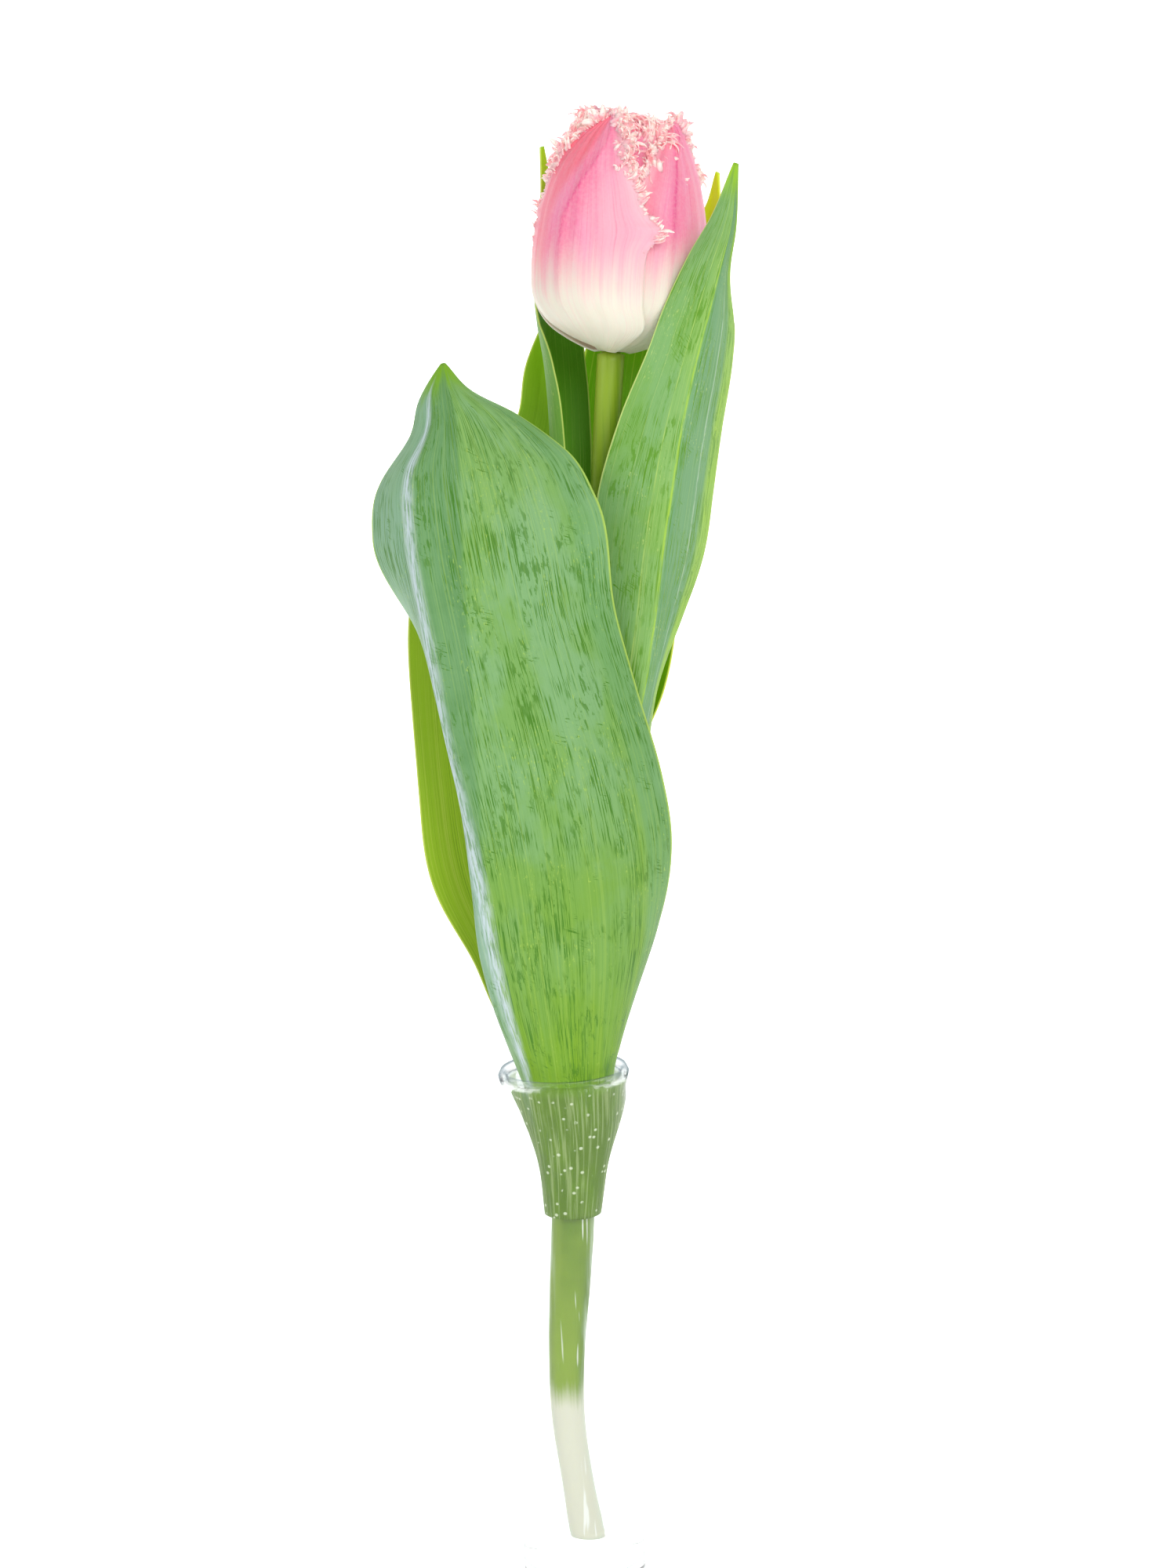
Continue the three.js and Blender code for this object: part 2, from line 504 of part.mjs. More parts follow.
// Spikes of the fringe, on every other step of the upper part of a petal's edge.
function petalTooth(surface, { seed, flare }) {
  return (u0, u1, side, k) => {
    const u = (u0 + u1) / 2;
    if (k % 2 === 1 || u < fringe.from || u > fringe.until) return null;
    const at = surface(u, side);
    const outward = at.point.clone().sub(surface(u, side * 0.9).point).normalize();
    const up = surface(u1, side).point.sub(surface(u0, side).point).normalize();
    const grow = ease((u - fringe.from) / fringe.full) * mix(0.75, 1.25, draw(seed, k + 200 * side));
    const open = ease((u - fringe.loosens) / fringe.loose);
    const tilt = side > 0 ? flare * mix(0.25, 0.9, draw(seed + 9, k)) : mix(-0.15, 0, draw(seed + 5, k));
    const curl = mix(tilt, mix(-0.1, 0.2 + 0.6 * flare, draw(seed + 3, k + 40 * side)), open);
    const lean = fringe.lean + fringe.spread * draw(seed + 7, k);
    return at.point.clone()
      .addScaledVector(at.out, -petalThickness / 2)
      .addScaledVector(
        outward.addScaledVector(up, lean).addScaledVector(at.out, curl).normalize(),
        fringe.length * grow,
      );
  };
}

function makePetal(name, petal) {
  const surface = petalSurface(petal);
  return makeBlade(
    name, surface, petalGrid, petalThickness, looks.petal, fringe.perStep, petalTooth(surface, petal));
}

// The pistil: a three-sided ovary under a stigma of three spreading lobes.
function makePistil() {
  const profile = [
    [0, 0.9, 0], [1.5, 1.1, 0.05], [4.5, 1.6, 0.1], [10, 2.4, 0.12], [16, 2.2, 0.12],
    [18, 2.1, 0.15], [20.5, 3.4, 0.3], [22.4, 3.9, 0.35], [24, 2.6, 0.3],
  ];
  const axis = bloomPoint(0, 0, 1).sub(bloomPoint(0, 0, 0));
  const foot = receptacle.height + touch;
  return loft('pistil', profile.map(([z, radius, lobes]) => ringAround(
    bloomPoint(0, 0, foot + (z * pistilHeight) / 24), axis, radius, 12,
    (angle) => 1 + lobes * Math.cos(3 * angle))), looks.pistil);
}

// A stamen: a thin filament that bows outwards and carries a long anther.
function makeStamen(index) {
  const angle = (2 * Math.PI * (index + 0.5)) / stamenRing.count;
  const profile = [
    [0, 0.45], [0.15, 0.6], [0.45, 0.75], [0.55, 0.6], [0.6, 1.3], [0.8, 1.45], [0.95, 1.1], [1, 0.4],
  ];
  const foot = receptacle.height + touch;
  const place = (t) => {
    const reach = mix(stamenRing.foot, stamenRing.spread, Math.sin((t * Math.PI) / 2));
    return bloomPoint(Math.cos(angle) * reach, Math.sin(angle) * reach, foot + stamenRing.height * t);
  };
  return loft(`stamen_${index + 1}`, profile.map(([t, radius]) => {
    const along = t === 0 ? place(1).sub(place(0.999)) : place(t + 0.01).sub(place(t - 0.01));
    return ringAround(place(t), along, radius, roundSides.organ);
  }), looks.stamen);
}

// ---------------------------------------------------------------- the whole
const group = new THREE.Group();
group.add(makeVase(), makeWater(), makeStem());
for (const [name, leaf] of Object.entries(leaves)) {
  group.add(makeBlade(name, leafSurface(leaf), leafGrid, leafThickness, looks.leaf));
}
for (const [name, petal] of Object.entries(petals)) group.add(makePetal(name, petal));
group.add(makePistil());
for (let i = 0; i < stamenRing.count; i++) group.add(makeStamen(i));

export default group;
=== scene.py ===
import math

import bmesh
import bpy
import numpy as np
from mathutils import Matrix, Vector


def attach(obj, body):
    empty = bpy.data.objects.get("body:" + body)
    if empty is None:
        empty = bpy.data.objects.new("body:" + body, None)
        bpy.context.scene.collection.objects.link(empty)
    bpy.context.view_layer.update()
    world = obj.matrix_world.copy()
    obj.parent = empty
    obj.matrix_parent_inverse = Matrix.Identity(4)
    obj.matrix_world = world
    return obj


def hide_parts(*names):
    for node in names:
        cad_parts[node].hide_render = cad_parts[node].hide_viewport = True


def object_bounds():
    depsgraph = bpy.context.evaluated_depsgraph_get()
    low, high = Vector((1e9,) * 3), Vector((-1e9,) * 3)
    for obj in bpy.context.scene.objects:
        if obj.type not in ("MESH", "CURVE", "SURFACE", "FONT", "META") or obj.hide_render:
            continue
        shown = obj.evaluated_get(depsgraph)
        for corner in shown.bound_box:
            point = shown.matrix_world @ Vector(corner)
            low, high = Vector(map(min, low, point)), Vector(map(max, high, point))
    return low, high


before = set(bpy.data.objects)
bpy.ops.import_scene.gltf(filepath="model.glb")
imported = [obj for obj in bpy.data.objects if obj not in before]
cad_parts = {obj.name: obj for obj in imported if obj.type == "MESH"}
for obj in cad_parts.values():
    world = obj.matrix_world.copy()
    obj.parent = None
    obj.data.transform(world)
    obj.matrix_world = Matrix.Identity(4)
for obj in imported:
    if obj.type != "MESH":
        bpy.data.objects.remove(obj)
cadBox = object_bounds()
scene = bpy.context.scene
mm = 0.001  # of a metre


def draw(seed, index):
    # a repeatable draw between 0 and 1
    value = np.sin(seed * 127.1 + np.asarray(index, float) * 311.7) * 43758.5453
    return value - np.floor(value)


def ease(t):
    t = np.clip(t, 0, 1)
    return t * t * (3 - 2 * t)


def mix(a, b, t):
    return a + (b - a) * t


def unit(a):
    return a / np.maximum(np.linalg.norm(a, axis=-1, keepdims=True), 1e-12)


def smoothRows(rows, measured):
    # rows of numbers joined by smooth cubics, spaced by the distance between their first numbers
    a = np.array(rows, float)
    gaps = np.linalg.norm(np.diff(a[:, :measured], axis=0), axis=1)
    knots = np.concatenate([[0], np.cumsum(gaps)])
    slopes = np.diff(a, axis=0) / gaps[:, None]
    tangents = np.empty_like(a)
    tangents[0] = slopes[0]
    tangents[-1] = slopes[-1]
    before = gaps[:-1, None]
    after = gaps[1:, None]
    tangents[1:-1] = (slopes[:-1] * after + slopes[1:] * before) / (before + after)

    def at(u):
        s = np.clip(np.asarray(u, float), 0, 1) * knots[-1]
        i = np.clip(np.searchsorted(knots, s, side="right") - 1, 0, len(gaps) - 1)
        h = gaps[i][..., None]
        t = (s - knots[i])[..., None] / h
        return (
            (2 * t**3 - 3 * t**2 + 1) * a[i]
            + (t**3 - 2 * t**2 + t) * h * tangents[i]
            + (3 * t**2 - 2 * t**3) * a[i + 1]
            + (t**3 - t**2) * h * tangents[i + 1]
        )

    return at


class Shape:
    # points in millimetres, with four numbers a point: across, along, inner face, tooth
    def __init__(self):
        self.points = []
        self.faces = []
        self.marks = []
        self.count = 0
    def add(self, points, faces, marks=None):
        points = np.asarray(points, float).reshape(-1, 3)
        self.points.append(points)
        self.faces += [[k + self.count for k in face] for face in faces]
        empty = np.zeros((len(points), 4))
        self.marks.append(empty if marks is None else np.asarray(marks, float).reshape(-1, 4))
        self.count += len(points)

    def piece(self, name, material, slot, *nodes):
        mesh = bpy.data.meshes.new(name)
        mesh.from_pydata((np.concatenate(self.points) * mm).tolist(), [], self.faces)
        marks = np.concatenate(self.marks)
        corners = np.empty(len(mesh.loops), int)
        mesh.loops.foreach_get("vertex_index", corners)
        blade = mesh.uv_layers.new(name="blade")
        blade.data.foreach_set("uv", marks[corners, :2].ravel())
        for column, word in ((2, "inner"), (3, "tooth")):
            layer = mesh.attributes.new(word, "FLOAT", "POINT")
            layer.data.foreach_set("value", np.ascontiguousarray(marks[:, column]))
        work = bmesh.new()
        work.from_mesh(mesh)
        bmesh.ops.recalc_face_normals(work, faces=work.faces)
        work.to_mesh(mesh)
        work.free()
        mesh.polygons.foreach_set("use_smooth", [True] * len(mesh.polygons))
        mesh.materials.append(material)
        thing = bpy.data.objects.new(name, mesh)
        scene.collection.objects.link(thing)
        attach(thing, "root")
        if nodes:
            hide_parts(*nodes)


def ringFaces(rows, sides):
    i, j = np.meshgrid(np.arange(rows - 1), np.arange(sides), indexing="ij")
    k = (j + 1) % sides
    quads = np.stack([i * sides + j, i * sides + k, (i + 1) * sides + k, (i + 1) * sides + j], -1)
    return quads.reshape(-1, 4).tolist()


def tube(shape, rings, marks=None):
    # a closed solid through rings of points
    rows, sides = rings.shape[:2]
    faces = ringFaces(rows, sides)
    faces += [list(range(sides))[::-1], list(range((rows - 1) * sides, rows * sides))]
    shape.add(rings, faces, marks)


def sheet(shape, outer, normals, thickness, us, vs):
    # a thin leaf with rounded margins: each row is one ring round both faces
    bulge = 0.4  # how far a margin stands out, as a share of the thickness
    nu, nv = outer.shape[:2]
    wide = 2 * nv + 2
    inner = outer - normals * thickness[..., None]
    middle = (outer + inner) / 2
    leftEdge = middle[:, :1] + unit(middle[:, :1] - middle[:, 1:2]) * thickness[:, :1, None] * bulge
    rightEdge = middle[:, -1:] + unit(middle[:, -1:] - middle[:, -2:-1]) * thickness[:, -1:, None] * bulge
    rings = np.concatenate([outer, rightEdge, inner[:, ::-1], leftEdge], axis=1)
    across = np.concatenate([vs, [1.02], vs[::-1], [-1.02]])
    marks = np.zeros((nu, wide, 4))
    marks[..., 0] = (across + 1) / 2
    marks[..., 1] = us[:, None]
    marks[..., 2] = np.concatenate([np.zeros(nv), [0.5], np.ones(nv), [0.5]])
    faces = ringFaces(nu, wide)
    for start, turn in ((0, 1), ((nu - 1) * wide, -1)):
        strip = []
        for j in range(nv - 1):
            strip.append([start + j, start + 2 * nv - j, start + 2 * nv - j - 1, start + j + 1])
        strip.append([start + nv - 1, start + nv + 1, start + nv])
        strip.append([start, start + wide - 1, start + wide - 2])
        faces += [face[::turn] for face in strip]
    shape.add(rings, faces, marks)


def ringsAround(centres, radii, sides, shapeOf=None):
    # round rings square to a path
    along = unit(np.gradient(centres, axis=0))
    back = unit(np.array([0.0, 1.0, 0.0]) - along * along[:, 1:2])
    right = np.cross(back, along)
    angle = np.linspace(0, 2 * math.pi, sides, endpoint=False)
    reach = np.asarray(radii, float)[:, None] * np.ones(sides)
    if shapeOf is not None:
        reach = reach * shapeOf(angle)
    return (
        centres[:, None]
        + right[:, None] * (np.cos(angle) * reach)[..., None]
        + back[:, None] * (np.sin(angle) * reach)[..., None]
    )


def lathe(shape, profile, sides):
    angle = np.linspace(0, 2 * math.pi, sides, endpoint=False)
    inside = np.array(profile[1:-1], float)
    rings = np.stack(
        [
            inside[:, :1] * np.cos(angle),
            inside[:, :1] * np.sin(angle),
            inside[:, 1:] * np.ones(sides),
        ],
        -1,
    )
    rows = len(inside)
    faces = ringFaces(rows, sides)
    points = np.concatenate([rings.reshape(-1, 3), [[0, 0, profile[0][1]], [0, 0, profile[-1][1]]]])
    low, high = rows * sides, rows * sides + 1
    for j in range(sides):
        k = (j + 1) % sides
        faces.append([k, j, low])
        faces.append([(rows - 1) * sides + j, (rows - 1) * sides + k, high])
    shape.add(points, faces)


def colour(red, green, blue):
    # screen values of 0 to 255 as linear light
    linear = [((c / 255 + 0.055) / 1.055) ** 2.4 if c > 10 else c / 3295 for c in (red, green, blue)]
    return (*linear, 1)


def fill(tree, inputs, values):
    # links what is a socket and sets what is a plain value
    for key, value in values.items():
        if isinstance(value, bpy.types.NodeSocket):
            tree.links.new(value, inputs[key])
        else:
            inputs[key].default_value = value


def add(tree, kind, inputs=None, **settings):
    made = tree.nodes.new("ShaderNode" + kind)
    for key, value in settings.items():
        setattr(made, key, value)
    fill(tree, made.inputs, inputs or {})
    return made


def sums(tree, operation, a, b=None, c=None, clamp=False):
    values = {i: v for i, v in enumerate((a, b, c)) if v is not None}
    return add(tree, "Math", values, operation=operation, use_clamp=clamp).outputs[0]


def times(tree, a, b):
    return sums(tree, "MULTIPLY", a, b)


def opposite(tree, a):
    return sums(tree, "SUBTRACT", 1.0, a)


def blend(tree, factor, a, b):
    return add(tree, "Mix", {0: factor, 6: a, 7: b}, data_type="RGBA").outputs[2]


def coats(tree, base, tones, layers):
    # tones laid one over another, each with its mask and amount
    for tone, mask, amount in layers:
        base = blend(tree, times(tree, mask, amount), base, tones[tone])
    return base


def steps(tree, value, low, high):
    # 0 below low, 1 above high, eased between
    reach = {"Value": value, "From Min": low, "From Max": high}
    return add(tree, "MapRange", reach, interpolation_type="SMOOTHSTEP").outputs[0]


def clouds(tree, spot, detail, roughness=0.5, scale=1.0):
    given = {"Vector": spot, "Scale": scale, "Detail": detail, "Roughness": roughness}
    return add(tree, "TexNoise", given).outputs[0]


def bumps(tree, height, strength, distance):
    return add(tree, "Bump", {"Height": height, "Strength": strength, "Distance": distance}).outputs[0]


def objectParts(tree):
    # where a point lies along X, Y and Z
    return add(tree, "SeparateXYZ", {0: add(tree, "TexCoord").outputs["Object"]}).outputs


def bladeParts(tree):
    # a blade's own map, how far up it and how far across it a point lies, and whether it faces in
    blade = add(tree, "UVMap", uv_map="blade").outputs[0]
    parts = add(tree, "SeparateXYZ", {0: blade}).outputs
    inner = add(tree, "Attribute", attribute_name="inner").outputs["Fac"]
    return blade, parts[1], sums(tree, "MULTIPLY_ADD", parts[0], 2.0, -1.0), inner


def makeGroup(name, inputs, outputs):
    tree = bpy.data.node_groups.new(name, "ShaderNodeTree")
    for word, kind, value in inputs:
        socket = tree.interface.new_socket(word, in_out="INPUT", socket_type="NodeSocket" + kind)
        if value is not None:
            socket.default_value = value
    for word, kind in outputs:
        tree.interface.new_socket(word, in_out="OUTPUT", socket_type="NodeSocket" + kind)
    start = tree.nodes.new("NodeGroupInput")
    end = tree.nodes.new("NodeGroupOutput")
    return tree, start.outputs, end.inputs


def place(tree, group, inputs):
    made = tree.nodes.new("ShaderNodeGroup")
    made.node_tree = group
    fill(tree, made.inputs, inputs)
    return made.outputs


def newMaterial(name):
    material = bpy.data.materials.new(name)
    material.use_nodes = True
    tree = material.node_tree
    tree.nodes.clear()
    shader = tree.nodes.new("ShaderNodeBsdfPrincipled")
    end = tree.nodes.new("ShaderNodeOutputMaterial")
    tree.links.new(shader.outputs[0], end.inputs[0])
    return material, tree, shader


def stretched(tree, given, along):
    # a blade's map pulled out across it and along it
    parts = add(tree, "SeparateXYZ", {0: given["Blade"]}).outputs
    pulled = {0: times(tree, parts[0], given["Across"]), 1: times(tree, parts[1], along), 2: given["Seed"]}
    return add(tree, "CombineXYZ", pulled).outputs[0]


def makeVeins():
    # fine lines along a blade, no two alike, some pale and some dark
    tree, given, out = makeGroup(
        "fineVeins",
        [("Blade", "Vector", None), ("Across", "Float", 95.0), ("Seed", "Float", 0.0)],
        [("Height", "Float"), ("Mask", "Float"), ("Dark", "Float")],
    )
    lines = clouds(tree, stretched(tree, given, 1.6), 3.0, 0.6)
    fill(tree, out, {
        "Height": lines,
        "Mask": steps(tree, lines, 0.52, 0.68),
        "Dark": opposite(tree, steps(tree, lines, 0.32, 0.46)),
    })
    return tree


def makeStreaks():
    # uneven marks, stretched along the blade
    tree, given, out = makeGroup(
        "longStreaks",
        [
            ("Blade", "Vector", None), ("Across", "Float", 30.0), ("Along", "Float", 5.0),
            ("Seed", "Float", 0.0), ("Low", "Float", 0.45), ("High", "Float", 0.6),
        ],
        [("Mask", "Float")],
    )
    marks = clouds(tree, stretched(tree, given, given["Along"]), 5.0, 0.6)
    fill(tree, out, {"Mask": steps(tree, marks, given["Low"], given["High"])})
    return tree


def makeRubs():
    # where a blade's waxy bloom is rubbed off: fine scratches, slanting hatches, ragged spots, pale flecks
    tree, given, out = makeGroup(
        "rubbedMarks",
        [
            ("Blade", "Vector", None), ("Seed", "Float", 0.0),
            ("Long", "Float", 200.0), ("Wide", "Float", 60.0),
        ],
        [("Mask", "Float"), ("Pale", "Float")],
    )
    parts = add(tree, "SeparateXYZ", {0: given["Blade"]}).outputs
    x = times(tree, parts[0], given["Wide"])
    y = times(tree, parts[1], given["Long"])

    def layer(long, wide, turn, offset, low, high, detail):
        # marks of this length and width in millimetres, turned from the blade's own line
        turn = math.radians(turn)
        a = sums(tree, "MULTIPLY_ADD", y, math.sin(turn), times(tree, x, math.cos(turn)))
        b = sums(tree, "MULTIPLY_ADD", y, math.cos(turn), times(tree, x, -math.sin(turn)))
        depth = sums(tree, "ADD", given["Seed"], float(offset))
        cells = {0: sums(tree, "DIVIDE", a, float(wide)), 1: sums(tree, "DIVIDE", b, float(long)), 2: depth}
        return steps(tree, clouds(tree, add(tree, "CombineXYZ", cells).outputs[0], detail, 0.62), low, high)

    def both(a, b):
        # fine marks, only where the broad ones are
        return times(tree, layer(*a), layer(*b))

    scratches = both((14, 0.38, 0, 0, 0.53, 0.565, 2.0), (24, 9, 0, 1, 0.44, 0.56, 4.0))
    spots = both((4.5, 1.0, 4, 2, 0.53, 0.56, 8.0), (20, 9, 0, 3, 0.5, 0.6, 3.0))
    hatches = both((5, 0.35, 64, 4, 0.56, 0.6, 2.0), (12, 8, 0, 5, 0.6, 0.66, 3.0))
    flecks = both((1.6, 0.5, 0, 6, 0.6, 0.66, 3.0), (22, 9, 0, 7, 0.5, 0.6, 2.0))
    marks = sums(tree, "MAXIMUM", scratches, sums(tree, "MAXIMUM", times(tree, spots, 0.8), hatches))
    fill(tree, out, {"Mask": marks, "Pale": flecks})
    return tree


def makeMottle():
    # cloudy variation through the whole object
    tree, given, out = makeGroup(
        "softMottle",
        [("Scale", "Float", 60.0), ("Low", "Float", 0.35), ("High", "Float", 0.65)],
        [("Mask", "Float"), ("Height", "Float")],
    )
    spot = add(tree, "TexCoord").outputs["Object"]
    cloudy = clouds(tree, spot, 4.0, scale=given["Scale"])
    fill(tree, out, {"Mask": steps(tree, cloudy, given["Low"], given["High"]), "Height": cloudy})
    return tree


fineVeins = makeVeins()
longStreaks = makeStreaks()
rubbedMarks = makeRubs()
softMottle = makeMottle()
print("shader groups made")


vaseLook = {
    "height": 140, "outer": 15.8, "bore": 14.5, "rim": 16.7, "floor": 7, "waterLevel": 137.4,
    "glass": colour(253, 254, 254), "glassEdge": colour(104, 120, 128), "glassShine": 0.45,
    "water": colour(254, 255, 253), "waterEdge": colour(240, 246, 244), "waterShine": 0.1,
    "glassBend": 1.45, "waterBend": 1.33, "edge": (0.66, 0.97), "turns": 3.5,
    "lip": (3.6, 2), "lipShade": colour(176, 188, 192), "lipClear": 0.85,
    "sides": 128, "glassRings": 170, "waterRings": 110,
}


def makeClear(name, look, tone):
    # glass or water that lets light through to what it holds, and after a few turns lets it straight on
    material, tree, shader = newMaterial(name)
    facing = add(tree, "LayerWeight", {0: 0.5}).outputs["Facing"]
    # painted shade: the clear tint turns grey towards grazing angles for the dark outlines of the glass, and
    # greyer on the lip (lipShade)
    tint = blend(tree, steps(tree, facing, *look["edge"]), look[tone], look[tone + "Edge"])
    shine = look[tone + "Shine"]
    fill(tree, shader.inputs, {
        "Base Color": tint,
        "Roughness": 0.0,
        "IOR": look[tone + "Bend"],
        "Transmission Weight": 1.0,
        "Specular Tint": (shine, shine, shine, 1),
    })
    path = add(tree, "LightPath").outputs
    passing = sums(tree, "MAXIMUM", path["Is Shadow Ray"], path["Is Diffuse Ray"])
    passing = sums(tree, "MAXIMUM", passing, sums(tree, "GREATER_THAN", path["Ray Depth"], look["turns"]))
    lipFrom, lipTo = ((look["height"] - down) * mm for down in look["lip"])
    lip = steps(tree, objectParts(tree)[2], lipFrom, lipTo)
    passing = sums(tree, "MAXIMUM", passing, times(tree, lip, look["lipClear"]))
    grazing = times(tree, steps(tree, facing, 0.45, 0.95), lip)
    clear = add(tree, "BsdfTransparent", {0: blend(tree, grazing, tint, look["lipShade"])}).outputs[0]
    both = add(tree, "MixShader", {0: passing, 1: shader.outputs[0], 2: clear}).outputs[0]
    tree.links.new(both, tree.nodes["Material Output"].inputs[0])
    return material


def smoothProfile(points, count):
    return smoothRows(points, 2)(np.linspace(0, 1, count)).tolist()


def makeVase(look):
    height, outer, bore, rim, floor = (look[k] for k in ("height", "outer", "bore", "rim", "floor"))
    wall = [
        [outer - 1.8, 0], [outer - 1.0, 0.15], [outer - 0.25, 0.8], [outer, 1.8], [outer, 4], [outer, 60],
        [outer, height - 9], [outer + 0.05, height - 6], [outer + 0.25, height - 4],
        [rim - 0.2, height - 2.7], [rim, height - 1.7], [rim - 0.05, height - 0.9],
        [rim - 0.4, height - 0.25], [rim - 0.9, height], [rim - 1.4, height - 0.15],
        [rim - 1.75, height - 0.7], [bore + 0.2, height - 2], [bore, height - 5], [bore, height - 12],
        [bore, 60], [bore, floor + 6], [bore - 0.3, floor + 3], [bore - 1.4, floor + 1.2],
        [bore - 4, floor + 0.25], [bore - 8, floor],
    ]
    wall = smoothProfile(wall, look["glassRings"])
    shape = Shape()
    lathe(shape, [[0, 0], [4, 0], [9, 0], *wall, [3, floor], [0, floor]], look["sides"])
    shape.piece("vaseGlass", makeClear("vaseGlass", look, "glass"), "glass", "vase")


def makeWater(look):
    over = 0.03  # a hair wider than the bore, so that water and glass have no air between them
    bore = look["bore"] + over
    floor = look["floor"] - over
    level = look["waterLevel"]
    wall = [
        [bore - 8, floor], [bore - 4, floor + 0.25], [bore - 1.4, floor + 1.2], [bore - 0.3, floor + 3],
        [bore, floor + 6], [bore, 60], [bore, level - 6], [bore, level + 0.3], [bore - 0.25, level + 0.15],
        [bore - 0.8, level + 0.04], [bore - 2, level],
    ]
    wall = smoothProfile(wall, look["waterRings"])
    shape = Shape()
    lathe(shape, [[0, floor], [3, floor], *wall, [8, level], [3, level], [0, level]], look["sides"])
    shape.piece("waterBody", makeClear("waterBody", look, "water"), "water", "water")


makeVase(vaseLook)
makeWater(vaseLook)
print("vase and water made")

# the stem's middle line and radius, from the cut to the neck: x, y, z, radius
stemLine = [
    [0.8, 0, 15.6, 3.4], [-0.6, 0, 30, 3.0], [-2.0, 0, 49.5, 3.15], [-1.7, 0, 66, 3.4],
    [-0.6, 0, 83, 3.85], [0.4, 0, 98, 4.05], [1.4, 0, 120, 4.05], [2.4, 0.2, 145, 4.0],
    [4.4, 0.6, 175, 3.9], [7.2, 1.2, 205, 3.8], [11.2, 1.9, 240, 3.65], [14.9, 2.5, 270, 3.5],
    [17.3, 2.9, 297, 3.4], [18.9, 3.1, 314, 3.4], [19.4, 3.2, 319, 3.4],
]
stemLook = {
    "cutSlant": -0.21, "cutRound": 0.15, "creamTop": 50.0, "greenFrom": 59.0,
    "knob": [[0.0, 2.3], [1.0, 2.3], [2.2, 2.3], [3.1, 2.25], [3.4, 1.9]],  # height and radius
    "cream": colour(222, 220, 202), "wet": colour(100, 134, 24), "pale": colour(154, 180, 56),
    "green": colour(104, 152, 4), "lime": colour(150, 180, 40), "filmAndSheen": colour(206, 218, 200),
    "gloss": colour(250, 250, 246), "rings": 190, "sides": 40,
}
bloomBase = np.array([19.4, 3.2, 319.4])
bloomLean = math.radians(6)


def bloomPoint(x, y, z):
    return np.stack(
        [
            bloomBase[0] + x * math.cos(bloomLean) + z * math.sin(bloomLean),
            bloomBase[1] + y + 0 * z,
            bloomBase[2] - x * math.sin(bloomLean) + z * math.cos(bloomLean),
        ],
        -1,
    )


def stemMaterial(name, look):
    material, tree, shader = newMaterial(name)
    spot = add(tree, "TexCoord").outputs["Object"]
    height = objectParts(tree)[2]
    mottle = place(tree, softMottle, {"Scale": 90.0, "Low": 0.35, "High": 0.7})
    grain = clouds(tree, add(tree, "Mapping", {"Vector": spot, "Scale": (900, 900, 22)}).outputs[0], 2.0)
    facing = add(tree, "LayerWeight", {0: 0.5}).outputs["Facing"]
    side = add(tree, "SeparateXYZ", {0: add(tree, "NewGeometry").outputs["Normal"]}).outputs[0]
    edge = sums(tree, "ADD", height, times(tree, sums(tree, "SUBTRACT", grain, 0.5), 0.012))
    base = blend(tree, steps(tree, height, 0.11, 0.14), look["wet"], look["green"])
    base = blend(tree, steps(tree, height, 0.16, 0.29), base, look["lime"])
    base = coats(tree, base, look, [
        ("pale", mottle["Mask"], 0.3),
        ("green", steps(tree, grain, 0.52, 0.66), 0.3),
        # painted light on the side facing left and painted shade on the side facing right
        ("pale", steps(tree, side, -0.35, -0.75), 0.35),
        ("wet", steps(tree, side, 0.2, 0.9), 0.3),
        ("pale", times(tree, steps(tree, facing, 0.5, 0.05), steps(tree, height, 0.1, 0.07)), 0.5),
    ])
    base = blend(tree, steps(tree, edge, look["creamTop"] * mm, look["greenFrom"] * mm), look["cream"], base)
    # a pale film that grows towards the grazing sides, partly a painted sheen, and painted glints in streaks
    # under water
    level = vaseLook["waterLevel"]
    sunk = steps(tree, height, (level + 1) * mm, (level - 1) * mm)
    filmAndSheen = times(tree, steps(tree, facing, 0.2, 0.85), steps(tree, grain, 0.4, 0.6))
    bright = times(tree, steps(tree, grain, 0.62, 0.68), steps(tree, facing, 0.45, 0.1))
    base = coats(tree, base, look, [
        ("filmAndSheen", times(tree, filmAndSheen, sunk), 0.75),
        ("gloss", times(tree, bright, sunk), 0.8),
    ])
    fill(tree, shader.inputs, {
        "Base Color": base,
        "Roughness": 0.4,
        "Subsurface Weight": 0.12,
        "Subsurface Radius": (1.0, 1.0, 0.4),
        "Subsurface Scale": 0.002,
        "Normal": bumps(tree, grain, 0.25, 0.0003),
    })
    return material


def makeStem(look):
    rows = smoothRows(stemLine, 3)(np.linspace(0, 1, look["rings"]))
    knob = np.array(look["knob"])
    centres = np.concatenate([rows[:, :3], bloomPoint(0, 0, knob[:, 0])])
    radii = np.concatenate([rows[:, 3], knob[:, 1]])
    radii[0] -= look["cutRound"]
    rings = ringsAround(centres, radii, look["sides"], lambda a: 1 + 0.012 * np.cos(3 * a + 1))
    rings[:3, :, 2] += (rings[:3, :, 0] - stemLine[0][0]) * look["cutSlant"]
    shape = Shape()
    tube(shape, rings)
    shape.piece("stemSkin", stemMaterial("stemSkin", look), "stem", "stem")


makeStem(stemLook)
print("stem made")

